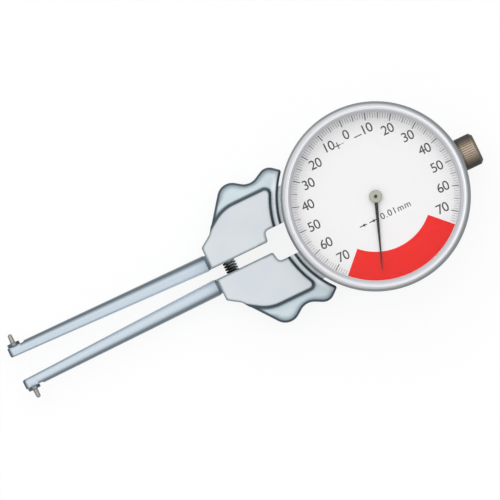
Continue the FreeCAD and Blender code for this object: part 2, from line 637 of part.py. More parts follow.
def bore_handle(handle, side):
    """The leg's bore, the spring's pocket and the thread of the leg's grub screw."""
    bore = handle.newObject("PartDesign::SubtractiveCylinder", handle.Label + "_leg_bore")
    bind(bore, Radius="shank_r", Height="shank_long + 2")
    axis = leg_placement(side)
    start = axis.multVec(V(-2, 0, 0))
    bore.Placement = FreeCAD.Placement(start, axis.Rotation.multiply(
        FreeCAD.Rotation(V(0, 1, 0), 90)))
    doc.recompute()
    seat = sketch(handle, "XZ_Plane")
    circle(seat, "spring_x", "spring_z", "spring_pocket_r")
    pocket(handle, seat, "spring_seat", flip=side < 0)
    hole(handle, "grub_x", "%d * leg_y" % side, "grub_r", "handle_bottom",
         "leg_z - shank_r - handle_bottom + 0.2", flip=True)


# The legs: tapered rods with a groove at the root and a flat where the contact point sits.

def leg_placement(side):
    splay = FreeCAD.Rotation(V(0, 0, 1), -side * value("leg_splay"))
    roll = FreeCAD.Rotation(V(1, 0, 0), 0 if side > 0 else 180)
    spot = V(value("front_x"), side * value("leg_y"), value("leg_z"))
    return FreeCAD.Placement(spot, splay.multiply(roll))


def make_leg(label, side):
    leg = body(label, "front_x", "%d * leg_y" % side, "leg_z")
    leg.Placement = leg_placement(side)
    turned(leg, [
        ("-leg_long", "0"), ("-leg_long", "leg_tip_r", "tip_round"),
        ("-groove_end - 0.15", "leg_root_r"), ("-groove_end", "leg_root_r - 0.12"),
        ("-groove_end", "groove_r"), ("-root_gap", "groove_r"), ("-root_gap", "shank_r"),
        ("shank_long - 0.3", "shank_r"), ("shank_long", "shank_r - 0.3"), ("shank_long", "0"),
    ], "XY_Plane", "H_Axis")
    flat = sketch(leg)
    outline(flat, [
        ("-leg_long - 1", "flat_y"), ("-leg_long + flat_long", "flat_y"),
        ("-leg_long + flat_long + flat_slope", "leg_root_r"), ("-leg_long - 1", "leg_root_r"),
    ])
    pocket(leg, flat, "10", both=True)
    seat = sketch(leg, "XZ_Plane")
    circle(seat, "point_x", "0", "point_shank_r")
    pocket(leg, seat, "10")
    seat.AttachmentOffset = FreeCAD.Placement(V(), FreeCAD.Rotation())
    bind(seat, AttachmentOffset__Base__z="point_shank - flat_y")
    doc.recompute()
    return leg


def make_point(label, side):
    """A contact point: shank, collar and a slightly tapered pin with a round end."""
    reach = "front_x + point_x * cos(leg_splay)"
    aside = "%d * (leg_y - point_x * sin(leg_splay))" % side
    point = body(label, reach, aside, "leg_z")
    turned(point, [
        ("0", "flat_y - point_shank"), ("point_shank_r", "flat_y - point_shank"),
        ("point_shank_r", "flat_y"), ("collar_r - 0.15", "flat_y"), ("collar_r", "flat_y + 0.15"),
        ("collar_r", "collar_end - 0.2"), ("collar_r - 0.2", "collar_end"),
        ("pin_root_r", "collar_end"), ("pin_tip_r", "pin_end", "pin_tip_r - 0.05"),
        ("0", "pin_end"),
    ], "XY_Plane")
    point.Placement.Rotation = leg_placement(side).Rotation
    doc.recompute()
    return point


def make_grub(label, side):
    grub = body(label, "grub_x", "%d * leg_y" % side, "grub_z")
    shaft = sketch(grub)
    circle(shaft, "0", "0", "grub_r")
    pad(grub, shaft, "leg_z - shank_r - grub_z")
    hexagon = sketch(grub)
    outline(hexagon, [("hex_r * cos(%d)" % a, "hex_r * sin(%d)" % a) for a in range(30, 390, 60)])
    pocket(grub, hexagon, "hex_deep", flip=True)
    return grub


def coil(label, radius, wire, start, end, turns, height):
    """A coil of straight chords, wound about its own X axis between two planes."""
    steps = 12 * int(value(turns))
    reach, gauge = value(radius), value(wire)
    first = value(start) + gauge
    rise = (value(end) - gauge - first) / steps
    path = [V(first + rise * i, reach * math.cos(math.pi * i / 6), reach * math.sin(math.pi * i / 6))
            for i in range(steps + 1)]
    ring = [V(0, gauge * math.cos(a * math.pi / 3), gauge * math.sin(a * math.pi / 3))
            for a in range(7)]
    facing = FreeCAD.Rotation(V(1, 0, 0), path[1] - path[0])
    section = Part.makePolygon([path[0] + facing.multVec(p) for p in ring])
    tube = Part.Wire(Part.makePolygon(path)).makePipeShell([section], True, False, 1)
    item = doc.addObject("Part::Feature", label)
    item.Shape = tube
    item.Placement.Base.z = value(height)
    return item


def make_handle_spring():
    spring = coil("handle_spring", "spring_r", "spring_wire", "-spring_seat", "spring_seat",
                  "spring_turns", "spring_z")
    spot = V(value("spring_x"), 0, value("spring_z"))
    spring.Placement = FreeCAD.Placement(spot, FreeCAD.Rotation(V(0, 0, 1), 90))
    return spring


# The spindle, with the rack that drives the movement, its foot, spring and cap.

def make_spindle():
    spindle = body("spindle", z="spindle_z")
    turned(spindle, [
        ("spindle_front", "0"), ("spindle_front", "spindle_r - 0.3"),
        ("spindle_front + 0.3", "spindle_r"), ("spindle_back - 0.3", "spindle_r"),
        ("spindle_back", "spindle_r - 0.3"), ("spindle_back", "0"),
    ], "XY_Plane", "H_Axis")
    flat = sketch(spindle)
    tip = "-rack_pitch_y - gear_module"
    outline(flat, [("flat_front", tip), ("flat_back", tip), ("flat_back", "-3"), ("flat_front", "-3")])
    pocket(spindle, flat, "10", both=True)
    pitch = "3.14159265 * gear_module"
    start = "first_x - (rack_spaces - 1) / 2 * " + pitch
    half = "(%s / 4 + gear_play / 2)" % pitch
    root = "-rack_pitch_y + 1.4 * gear_module"
    space = sketch(spindle)
    outline(space, [
        (start + " - " + half + " + 0.51 * gear_module", root),
        (start + " + " + half + " - 0.51 * gear_module", root),
        (start + " + " + half + " + 0.55 * gear_module", tip + " - 0.1"),
        (start + " - " + half + " - 0.55 * gear_module", tip + " - 0.1"),
    ])
    tooth = pocket(spindle, space, "10", both=True)
    rack = spindle.newObject("PartDesign::LinearPattern", "rack")
    rack.Originals = [tooth]
    rack.Direction = (origin_of(spindle, "X_Axis"), [""])
    bind(rack, Occurrences="rack_spaces", Length="(rack_spaces - 1) * " + pitch)
    spindle.Tip = rack
    doc.recompute()
    return spindle


def make_foot():
    across = FreeCAD.Rotation(V(0, 1, 0), 90)
    collar = primitive("Cylinder", "foot_collar", "foot_front", "0", "spindle_z",
                       Radius="foot_r", Height="foot_back - foot_front")
    bore = primitive("Cylinder", "foot_bore", "foot_front - 1", "0", "spindle_z",
                     Radius="spindle_r", Height="foot_back - foot_front + 2")
    for item in (collar, bore):
        item.Placement.Rotation = across
    plate = primitive("Box", "foot_plate", "foot_front", "-foot_half", "foot_bottom",
                      Length="foot_back - foot_front", Width="2 * foot_half",
                      Height="spindle_z - foot_bottom")
    doc.recompute()
    return cut("spindle_foot", joined("foot_blank", [collar, plate]), bore)


def make_cap():
    """The knurled cap over the spindle's rear end. It is modelled upright and laid along X."""
    cap = body("spindle_cap", z="spindle_z")
    turned(cap, [
        ("cap_thread_r", "cap_front"), ("cap_r - 0.3", "cap_front"), ("cap_r", "cap_front + 0.3"),
        ("cap_r", "cap_end - cap_chamfer"), ("cap_r - cap_chamfer", "cap_end"), ("0", "cap_end"),
        ("0", "cap_cavity_end"), ("cap_cavity_r", "cap_cavity_end"), ("cap_cavity_r", "neck_end"),
        ("cap_thread_r", "neck_end"),
    ])
    groove = sketch(cap, offset="knurl_front")
    outline(groove, [("cap_r - knurl_depth", "0"), ("cap_r + 0.1", "knurl_half"),
                     ("cap_r + 0.1", "-knurl_half")])
    around(cap, pocket(cap, groove, "knurl_end - knurl_front", flip=True), "knurl_count")
    cap.Placement.Rotation = FreeCAD.Rotation(V(0, 1, 0), 90)
    return cap


# The movement: three steps of wheels and pinions up to the hand, and the take-up wheel.

def toothed(item, teeth, height, thick):
    """A toothed disc about the body's axis, with a tooth space on its +X side."""
    disc = sketch(item, offset=height)
    circle(disc, "0", "0", "gear_module * (%s / 2 + 1)" % teeth)
    pad(item, disc, thick)
    count = value(teeth)
    lean = math.tan(math.radians(20 + 90 / count))
    half = "(3.14159265 * gear_module / 4 + gear_play / 2)"
    reach = "gear_module * %s / 2" % teeth
    space = sketch(item, offset=height)
    deep, high = "%.4f * gear_module" % (1.3 * lean), "%.4f * gear_module" % (1.3 * lean)
    narrow, wide = "max(%s - %s; 0.02)" % (half, deep), "%s + %s" % (half, high)
    outline(space, [
        (reach + " - 1.3 * gear_module", "-" + narrow), (reach + " + 1.3 * gear_module", "-(%s)" % wide),
        (reach + " + 1.3 * gear_module", wide), (reach + " - 1.3 * gear_module", narrow),
    ])
    return around(item, pocket(item, space, thick, flip=True), teeth)


def crossings(item, height, inner, outer):
    """Four openings that leave a rim, a hub and four spokes."""
    window = sketch(item, offset=height)
    side = "spoke_half"
    reach = "sqrt((%s)^2 - spoke_half^2)" % outer
    middle = "(%s) * 0.7071" % outer
    outline(window, [
        (inner, side), (reach, side), ("(%s) * 0.9239" % outer, "(%s) * 0.3827" % outer),
        (middle, middle), ("(%s) * 0.3827" % outer, "(%s) * 0.9239" % outer), (side, reach),
        (side, inner),
    ])
    around(item, pocket(item, window, "3", flip=True), "4")


def make_arbor(label, place, pinion_z, pinion_h, foot, turn, top=None):
    """A steel arbor with its pinion. The centre arbor goes on through the dial."""
    arbor = body(label, place[0], place[1], turn=turn)
    head = [("arbor_r", "arbor_head_z"), ("pivot_tip_r", "arbor_head_z"),
            ("pivot_tip_r", "pivot_top_z"), ("0", "pivot_top_z")]
    if top:
        head = [("arbor_r", "arbor_head_z"), ("centre_shaft_r", "arbor_head_z"),
                ("centre_shaft_r", top), ("0", top)]
    tail = [("0", foot), ("arbor_r", foot)]
    if foot == "arbor_foot_z":
        tail = [("0", "pivot_tip_z"), ("pivot_tip_r", "pivot_tip_z"), ("pivot_tip_r", foot),
                ("arbor_r", foot)]
    turned(arbor, tail + head)
    if pinion_z:
        toothed_pinion(arbor, pinion_z, pinion_h)
    return arbor


def toothed_pinion(arbor, height, thick):
    """Leaves of the pinion: one leaf, repeated round the arbor."""
    leaf = sketch(arbor, offset=height)
    reach = "gear_module * pinion_teeth / 2"
    half = "(3.14159265 * gear_module / 4 - gear_play / 2)"
    outline(leaf, [
        ("arbor_r - 0.2", "-(%s + 0.02)" % half), (reach, "-" + half),
        (reach + " + gear_module", "-%s / 2.2" % half), (reach + " + gear_module", half + " / 2.2"),
        (reach, half), ("arbor_r - 0.2", half + " + 0.02"),
    ])
    core = sketch(arbor, offset=height)
    circle(core, "0", "0", reach + " - 1.25 * gear_module")
    pad(arbor, core, thick)
    around(arbor, pad(arbor, leaf, thick), "pinion_teeth")


def make_wheel(label, place, teeth, height, turn, outer):
    wheel = body(label, place[0], place[1], turn=turn)
    toothed(wheel, teeth, height, "wheel_h")
    hole(wheel, "0", "0", "arbor_r", height, "3", flip=True)
    crossings(wheel, height, "crossing_in", outer)
    return wheel


def bearing(start, end):
    """The direction from one axis to another, in degrees."""
    a = [value(t) for t in start]
    b = [value(t) for t in end]
    return math.degrees(math.atan2(b[1] - a[1], b[0] - a[0]))


def make_movement():
    first, centre = ("first_x", "first_y"), ("0", "0")
    half_leaf, half_tooth = 180 / value("pinion_teeth"), 180 / value("wheel_teeth")
    one = bearing(first, SECOND)
    two = bearing(SECOND, centre)
    leaf_h = "wheel_h + 2 * pinion_over"
    parts = [
        make_arbor("first_arbor", first, "pinion_one_z", "pinion_one_h", "arbor_one_foot", 90),
        make_wheel("first_wheel", first, "wheel_teeth", "wheel_one_z", one - half_tooth,
                   "crossing_out"),
        make_arbor("second_arbor", SECOND, "wheel_one_z - pinion_over", leaf_h, "arbor_foot_z",
                   one + 180 + half_leaf),
        make_wheel("second_wheel", SECOND, "wheel_teeth", "wheel_two_z", two - half_tooth,
                   "crossing_out"),
        make_arbor("centre_arbor", centre, "wheel_two_z - pinion_over", leaf_h, "arbor_foot_z",
                   two + 180 + half_leaf, "centre_top_z"),
        make_arbor("takeup_arbor", TAKEUP, None, None, "arbor_foot_z", 0),
    ]
    leaf_at = two + 180 + half_leaf
    out = value("takeup_turn")
    over = (out - leaf_at + half_leaf) % (2 * half_leaf) - half_leaf
    turn = out + 180 + over * value("pinion_teeth / takeup_teeth")
    parts.append(make_wheel("takeup_wheel", TAKEUP, "takeup_teeth", "wheel_two_z", turn,
                            "takeup_crossing_out"))
    return parts


def make_hairspring():
    """A flat spiral from the take-up arbor's collet to its stud."""
    spiral = doc.addObject("Part::Spiral", "hair_line")
    bind(spiral, Growth="hair_growth", Radius="collet_r", Rotations="hair_turns")
    strip = doc.addObject("Part::Plane", "hair_section")
    bind(strip, Length="hair_thick", Width="hair_high")
    strip.Placement = FreeCAD.Placement(V(value("collet_r"), 0, 0), FreeCAD.Rotation(V(1, 0, 0), 90))
    spring = doc.addObject("Part::Sweep", "hairspring")
    spring.Sections = [strip]
    spring.Spine = (spiral, ["Edge1"])
    spring.Solid = True
    spring.Frenet = True
    bind(spring, Placement__Base__x=TAKEUP[0], Placement__Base__y=TAKEUP[1],
         Placement__Base__z="hair_z")
    blank = primitive("Cylinder", "collet_blank", TAKEUP[0], TAKEUP[1], "collet_z",
                      Radius="collet_r", Height="collet_top - collet_z")
    bore = primitive("Cylinder", "collet_bore", TAKEUP[0], TAKEUP[1], "collet_z - 1",
                     Radius="arbor_r", Height="collet_top - collet_z + 2")
    collet = cut("hairspring_collet", blank, bore)
    stud = primitive("Cylinder", "hairspring_stud", STUD[0], STUD[1], "web_top - 0.8",
                     Radius="stud_r", Height="collet_top - web_top + 0.8")
    doc.recompute()
    return [spring, collet, stud]


def make_bridge():
    bridge = body("movement_bridge")
    disc = sketch(bridge, offset="bridge_z")
    circle(disc, "0", "0", "bridge_r")
    pad(bridge, disc, "bridge_top - bridge_z")
    for place, radius in ((("first_x", "first_y"), "pivot_hole_r"), (SECOND, "pivot_hole_r"),
                          (TAKEUP, "pivot_hole_r"), (("0", "0"), "centre_hole_r")):
        hole(bridge, place[0], place[1], radius, "bridge_z", "3", flip=True)
    for x, y in PILLAR_PLACES:
        hole(bridge, x, y, "bridge_screw_r", "bridge_z", "3", flip=True)
    return bridge


def make_pillars():
    pillars = []
    for x, y in PILLAR_PLACES:
        post = primitive("Cylinder", "post", x, y, "web_top", Radius="pillar_r",
                         Height="bridge_z - web_top")
        spigot = primitive("Cylinder", "spigot", x, y, "web_bottom", Radius="pillar_spigot_r",
                           Height="web_top - web_bottom")
        tapped = primitive("Cylinder", "tapped", x, y, "bridge_screw_end",
                           Radius="bridge_screw_r", Height="5")
        pillars.append(cut("pillar", joined("pillar_blank", [post, spigot]), tapped))
    return group("bridge_pillars", pillars)


def make_bridge_screws():
    screws = []
    for x, y in PILLAR_PLACES:
        head = primitive("Cylinder", "head", x, y, "bridge_top", Radius="bridge_head_r",
                         Height="bridge_head_h")
        shank = primitive("Cylinder", "shank", x, y, "bridge_screw_end", Radius="bridge_screw_r",
                          Height="bridge_top - bridge_screw_end")
        slot = primitive("Box", "slot", "%s - 2" % x, "%s - slot_width / 2" % y,
                         "bridge_top + bridge_head_h - slot_depth", Length="4",
                         Width="slot_width", Height="1")
        screws.append(cut("bridge_screw", joined("screw_blank", [head, shank]), slot))
    return group("bridge_screws", screws)


# The face: hand, dial, the ring that spaces the crystal, crystal, bezel and its wire clip.

def make_hand():
    hub = body("hand_hub")
    turned(hub, [
        ("centre_shaft_r", "hub_z"), ("hub_neck_r", "hub_z"), ("hub_neck_r", "hub_step"),
        ("hub_r", "hub_step"), ("hub_r", "hub_top - 0.15"), ("hub_r - 0.15", "hub_top"),
        ("centre_shaft_r", "hub_top"),
    ])
    hand = body("hand", turn=value("hand_turn"))
    eye = sketch(hand, offset="hub_step - hand_h")
    circle(eye, "0", "0", "hand_eye_r")
    pad(hand, eye, "hand_h")
    blade = sketch(hand, offset="hub_step - hand_h")
    outline(blade, [("0.5", "-hand_root_half"), ("hand_tip", "-hand_tip_half"),
                    ("hand_tip", "hand_tip_half"), ("0.5", "hand_root_half")])
    pad(hand, blade, "hand_h")
    hole(hand, "0", "0", "hub_neck_r", "hub_step - hand_h", "2", flip=True)
    return [hub, hand]


def make_face():
    dial = body("dial_plate")
    turned(dial, [("dial_hole_r", "dial_z"), ("dial_r", "dial_z"), ("dial_r", "dial_top"),
                  ("dial_hole_r", "dial_top")])
    ring = body("dial_ring")
    turned(ring, [("ring_in_r", "dial_top"), ("dial_r", "dial_top"), ("dial_r", "ring_top"),
                  ("ring_in_r", "ring_top")])
    crystal = body("crystal")
    turned(crystal, [("0", "ring_top"), ("dial_r", "ring_top"), ("dial_r", "crystal_top"),
                     ("0", "crystal_top")])
    bezel = body("bezel")
    turned(bezel, [
        ("skirt_r", "bezel_bottom"), ("bezel_r - bezel_edge", "bezel_bottom"),
        ("bezel_r", "bezel_bottom + bezel_edge"), ("bezel_r", "bevel_bottom"),
        ("bevel_r", "bevel_top", "1.2"), ("crown_out_r", "bezel_top"),
        ("crown_in_r", "bezel_top"), ("ring_in_r", "inner_slope"), ("ring_in_r", "crystal_top"),
        ("dial_r", "crystal_top"), ("dial_r", "skirt_top"), ("skirt_r", "skirt_top"),
        ("skirt_r", "clip_top"), ("clip_out_r", "clip_top"), ("clip_out_r", "clip_bottom"),
        ("skirt_r", "clip_bottom"),
    ])
    clip = body("bezel_clip")
    turned(clip, [("clip_in_r", "clip_bottom"), ("clip_out_r", "clip_bottom"),
                  ("clip_out_r", "clip_top"), ("clip_in_r", "clip_top")])
    return [dial, ring, crystal, bezel, clip]


def make_all():
    parts = [make_case(), make_rear_cover(), make_cover_screws(), make_pivot_pins()]
    parts.append(make_handle("handle_upper", 1, (-105, -90, -75)))
    parts.append(make_handle("handle_lower", -1, (-97.5, -82.5)))
    for name, side in (("upper", 1), ("lower", -1)):
        parts.append(make_leg("leg_" + name, side))
        parts.append(make_point("contact_" + name, side))
        parts.append(make_grub("leg_screw_" + name, side))
    parts += [make_handle_spring(), make_spindle(), make_foot()]
    parts.append(coil("spindle_spring", "return_r", "return_wire", "foot_back", "lug_front",
                      "return_turns", "spindle_z"))
    parts.append(make_cap())
    parts += make_movement() + make_hairspring()
    parts += [make_bridge(), make_pillars(), make_bridge_screws()]
    return parts + make_hand() + make_face()


def check(parts):
    for item in doc.Objects:
        if "Invalid" in item.State or "Error" in item.State:
            raise RuntimeError("%s: %s" % (item.Label, item.State))
    for item in parts:
        if item.Shape.isNull() or not item.Shape.isValid():
            raise RuntimeError("bad shape: " + item.Label)


parts = make_all()
doc.recompute()
check(parts)
os.makedirs("parts", exist_ok=True)
for item in parts:
    item.Shape.exportStep("parts/%s.step" % item.Label)
    print("%-20s solids %d  volume %.2f" % (item.Label, len(item.Shape.Solids), item.Shape.Volume))
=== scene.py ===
import math
import bpy
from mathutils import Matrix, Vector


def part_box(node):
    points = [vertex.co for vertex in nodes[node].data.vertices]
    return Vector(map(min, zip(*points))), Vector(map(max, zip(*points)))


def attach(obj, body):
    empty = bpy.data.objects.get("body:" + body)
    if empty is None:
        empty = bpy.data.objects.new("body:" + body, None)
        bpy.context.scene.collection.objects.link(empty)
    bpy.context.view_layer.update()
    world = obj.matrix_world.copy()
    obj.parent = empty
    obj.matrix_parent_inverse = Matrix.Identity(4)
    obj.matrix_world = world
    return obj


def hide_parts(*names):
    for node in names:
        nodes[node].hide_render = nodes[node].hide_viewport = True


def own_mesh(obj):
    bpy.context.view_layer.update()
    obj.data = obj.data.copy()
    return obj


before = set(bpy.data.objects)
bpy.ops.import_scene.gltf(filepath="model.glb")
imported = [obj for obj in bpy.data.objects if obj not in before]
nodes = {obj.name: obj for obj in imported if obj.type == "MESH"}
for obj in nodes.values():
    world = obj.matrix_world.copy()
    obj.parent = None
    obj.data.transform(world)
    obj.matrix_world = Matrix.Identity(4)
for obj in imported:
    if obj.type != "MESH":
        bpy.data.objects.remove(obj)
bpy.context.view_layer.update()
scene = bpy.context.scene
scene.view_settings.view_transform = "Standard"
bpy.ops.object.select_all(action="DESELECT")

# Camera
# A long lens straight above the dial, turned so that the legs run down to the left. The whole
# picture is 150 mm wide at the height of the handles.
CAMERA_PLACE = (-0.04086, 0.00189, 4.1787)
CAMERA_TURN = math.radians(-25.75)

bpy.ops.object.camera_add(location=CAMERA_PLACE, rotation=(0, 0, CAMERA_TURN))
camera = bpy.context.object
camera.data.lens = 1000
camera.data.sensor_width = 36
camera.data.clip_end = 50
scene.camera = camera


# Table, walls and lamp
# A white table top in a white studio. One wide soft lamp hangs above and to one side, and the
# walls give the rest of the light. The table keeps a faint shadow of the gauge.
TABLE_WIDE, TABLE_DROP = 24, 0.00002    # the drop keeps the rear cover's face off the table's
PLAIN_WHITE = 0.86                      # the part of the table's white that takes no shadow
ROOM_LIGHT = 0.64                       # strength of the light that the walls give
LAMP_PLACE = (0.2, 2.4, 5.0)
LAMP_WIDE, LAMP_POWER = 8.0, 205


def linear(shade):
    """The linear colour of an sRGB hex value."""
    parts = [int(shade[i:i + 2], 16) / 255 for i in (1, 3, 5)]
    return [p / 12.92 if p <= 0.04045 else ((p + 0.055) / 1.055) ** 2.4 for p in parts] + [1.0]


def add(tree, kind, values={}, links={}, stops=(), **settings):
    """Adds one node with its settings, socket values, incoming links and colour stops. The
    first two stops are the ramp's own, and the rest are set between them."""
    node = tree.nodes.new("ShaderNode" + kind)
    for name, setting in settings.items():
        setattr(node, name, setting)
    for socket, number in values.items():
        node.inputs[socket].default_value = number
    for socket, source in links.items():
        tree.links.new(source, node.inputs[socket])
    for count, (place, shade) in enumerate(stops):
        ramp = node.color_ramp.elements
        stop = ramp[count] if count < 2 else ramp.new(place)
        stop.position, stop.color = place, linear(shade)
    return node


bpy.ops.mesh.primitive_plane_add(size=TABLE_WIDE, location=(0, 0, -TABLE_DROP))
table = bpy.context.object
table.name = "table_top"
laminate = bpy.data.materials.new("white_laminate_table")
laminate.use_nodes = True
tree = laminate.node_tree
tree.nodes.clear()
path = add(tree, "LightPath")
seen = add(tree, "Math", operation="ADD",
           links={0: path.outputs["Is Camera Ray"], 1: path.outputs["Is Glossy Ray"]})
seen = add(tree, "Math", operation="ADD", use_clamp=True,
           links={0: seen.outputs[0], 1: path.outputs["Is Transmission Ray"]})
share = add(tree, "Math", operation="MULTIPLY", values={1: PLAIN_WHITE},
            links={0: seen.outputs[0]})
matt = add(tree, "BsdfDiffuse", values={"Color": linear("#FFFFFF")})
plain = add(tree, "Emission", values={"Color": linear("#FFFFFF"), "Strength": 1.0})
both = add(tree, "MixShader",
           links={0: share.outputs[0], 1: matt.outputs[0], 2: plain.outputs[0]})
add(tree, "OutputMaterial", links={"Surface": both.outputs[0]})
table.data.materials.append(laminate)

world = bpy.data.worlds.new("white_studio")
scene.world = world
world.use_nodes = True
tree = world.node_tree
tree.nodes.clear()
path = add(tree, "LightPath")
way = add(tree, "TexCoord")
height = add(tree, "SeparateXYZ", links={0: way.outputs["Generated"]})
walls = add(tree, "ValToRGB", links={0: height.outputs["Z"]},
            stops=((0.0, "#B4B8BC"), (0.7, "#FFFFFF"), (0.25, "#D8DADC")))
room = add(tree, "Background", values={"Color": linear("#FFFFFF"), "Strength": ROOM_LIGHT})
mirrored = add(tree, "Background", values={"Strength": 1.0}, links={"Color": walls.outputs[0]})
backdrop = add(tree, "Background", values={"Color": linear("#FFFFFF"), "Strength": 1.0})
lighting = add(tree, "MixShader", links={0: path.outputs["Is Glossy Ray"],
                                         1: room.outputs[0], 2: mirrored.outputs[0]})
seen = add(tree, "Math", operation="ADD", use_clamp=True,
           links={0: path.outputs["Is Camera Ray"], 1: path.outputs["Is Transmission Ray"]})
studio = add(tree, "MixShader",
             links={0: seen.outputs[0], 1: lighting.outputs[0], 2: backdrop.outputs[0]})
add(tree, "OutputWorld", links={"Surface": studio.outputs[0]})

bpy.ops.object.light_add(type="AREA", location=LAMP_PLACE)
lamp = bpy.context.object
lamp.data.size = LAMP_WIDE
lamp.data.energy = LAMP_POWER
lamp.rotation_euler = lamp.location.to_track_quat("Z", "Y").to_euler()


# Case and rear cover
# The cup behind the dial and its flat cover: an aluminium casting in satin grey enamel. The
# enamel lies in a fine orange peel that softens the lamp's reflection.
def new_finish(name, shade, metallic, roughness):
    """A material, its node tree and its shader, with the values that are the same all over."""
    finish = bpy.data.materials.new(name)
    finish.use_nodes = True
    shader = finish.node_tree.nodes["Principled BSDF"]
    shader.inputs["Base Color"].default_value = linear(shade)
    shader.inputs["Metallic"].default_value = metallic
    shader.inputs["Roughness"].default_value = roughness
    return finish, finish.node_tree, shader


def grained(tree, shader, size_mm, depth_mm, stretch=(1, 1, 1)):
    """A grain of that size on the piece's own points, as bump and as a change in gloss. It is
    drawn a few times coarser than the real one, which is too fine to show. Gives back the
    piece's coordinates, for its colours."""
    glossier, duller = 0.06, 0.08
    points = add(tree, "TexCoord")
    drawn = add(tree, "Mapping", values={"Scale": stretch}, links={0: points.outputs["Object"]})
    grain = add(tree, "TexNoise", links={"Vector": drawn.outputs[0]},
                values={"Scale": 1000 / size_mm, "Detail": 3.0, "Roughness": 0.55})
    rise = add(tree, "Bump", values={"Strength": 0.6, "Distance": depth_mm / 1000},
               links={"Height": grain.outputs["Fac"]})
    tree.links.new(rise.outputs[0], shader.inputs["Normal"])
    gloss = shader.inputs["Roughness"].default_value
    sheen = add(tree, "MapRange", values={"To Min": gloss - glossier, "To Max": gloss + duller},
                links={"Value": grain.outputs["Fac"]})
    tree.links.new(sheen.outputs[0], shader.inputs["Roughness"])
    return points


def dressed(names, finish):
    """Gives a finish to solids that keep their shape."""
    for name in names:
        if not nodes[name].material_slots:
            nodes[name].data.materials.append(finish)
        for slot in nodes[name].material_slots:
            slot.material = finish


enamel, tree, shader = new_finish("satin_grey_case_enamel", "#B9BFC3", 0.0, 0.38)
grained(tree, shader, 0.5, 0.01)
dressed(["case", "rear_cover"], enamel)


# Handles
# Two castings in satin silver-grey enamel. The faces look up light and cool, and the sides are a
# little greyer. Painted shade darkens the rounded edges and the corners to slate.
STEP_LOW, STEP_HIGH = 0.0128, 0.0134          # heights where the faces end and the plate begins
RIB_NEAR, RIB_FAR = 0.0272, 0.0318            # the rear rib, from the dial's centre
RIB_LIGHT_FULL, RIB_LIGHT_FADED = 0.0158, 0.0180         # beside the middle line, where the painted light on the rib fades
HORN_IN, HORN_OUT = 0.0176, 0.0192            # beside the middle line, where the painted edge shade gets wider
THIN_EDGE_SHADE, WIDE_EDGE_SHADE, PLATE_EDGE_SHADE = 0.0010, 0.0030, 0.0016    # how far an edge's painted shade reaches
NOTCH_FRONT, NOTCH_REAR = -0.0386, -0.0374    # along the gauge, where the slot widens
NOTCH_IN, NOTCH_OUT = 0.0052, 0.0060          # beside the middle line, the notch's corner
SIDE_STARTS, SIDE_FULL = 0.3, 0.05            # how far a normal points up on an upright side
# Sockets of a Mix node that blends colours: its share, its two colours and its result.
SHARE, FIRST, SECOND, MIXED = 0, 6, 7, 2

enamel, tree, shader = new_finish("satin_silver_handle_enamel", "#D3D8DB", 0.0, 0.36)
points = grained(tree, shader, 0.35, 0.008)

# The faces and the plate, with a faint cloud in the enamel.
place = add(tree, "SeparateXYZ", links={0: points.outputs["Object"]})
plate = add(tree, "MapRange", values={"From Min": STEP_LOW, "From Max": STEP_HIGH},
            links={"Value": place.outputs["Z"]})
faces = add(tree, "Mix", data_type="RGBA", links={SHARE: plate.outputs[0]},
            values={FIRST: linear("#D3E0E4"), SECOND: linear("#D8DDE0")})
cloud = add(tree, "TexNoise", values={"Scale": 90.0, "Detail": 2.0},
            links={0: points.outputs["Object"]})
tint = add(tree, "ValToRGB", links={0: cloud.outputs["Fac"]},
           stops=((0.3, "#F6F8FB"), (0.7, "#FFFFFF")))
soft = add(tree, "Mix", data_type="RGBA", blend_type="MULTIPLY", values={SHARE: 1.0},
           links={FIRST: faces.outputs[MIXED], SECOND: tint.outputs[0]})

# The narrow rib at the rear, which curves round the bezel. Painted light lifts it near white and
# takes the painted edge shade off it, against the shade that the bezel casts there.
flat = add(tree, "CombineXYZ", links={0: place.outputs["X"], 1: place.outputs["Y"]})
reach = add(tree, "VectorMath", operation="LENGTH", links={0: flat.outputs[0]})
rib = add(tree, "MapRange", values={"From Min": RIB_NEAR, "From Max": RIB_FAR},
          links={"Value": reach.outputs["Value"]})
painted_rib_light = add(tree, "ValToRGB", links={0: rib.outputs[0]},
          stops=((0.0, "#FFFFFF"), (1.0, "#000000"), (0.43, "#FFFFFF"), (0.475, "#000000"),
                 (0.535, "#000000"), (0.58, "#FFFFFF"), (0.80, "#FFFFFF")))
aside = add(tree, "Math", operation="ABSOLUTE", links={0: place.outputs["Y"]})
rib_light_fade = add(tree, "MapRange", links={"Value": aside.outputs[0]},
           values={"From Min": RIB_LIGHT_FULL, "From Max": RIB_LIGHT_FADED, "To Min": 0.9, "To Max": 0.3})
painted_rib_light = add(tree, "Math", operation="MULTIPLY", links={0: painted_rib_light.outputs[0], 1: rib_light_fade.outputs[0]})
soft = add(tree, "Mix", data_type="RGBA", values={SECOND: linear("#FAFDFF")},
           links={SHARE: painted_rib_light.outputs[0], FIRST: soft.outputs[MIXED]})

# Painted shade on the rounded edges, by how far they lean from level.
facing = add(tree, "SeparateXYZ", links={0: points.outputs["Normal"]})
slope = add(tree, "Math", operation="ABSOLUTE", links={0: facing.outputs["Z"]})
edges = add(tree, "ValToRGB", links={0: slope.outputs[0]},
            stops=((0.0, "#8C979D"), (0.998, "#FFFFFF"), (0.35, "#5A6972"), (0.80, "#4C5A64"),
                   (0.955, "#66747D"), (0.985, "#A7B2B8")))
coat_and_shade = add(tree, "Mix", data_type="RGBA", blend_type="MULTIPLY", values={SHARE: 1.0},
           links={FIRST: soft.outputs[MIXED], SECOND: edges.outputs[0]})
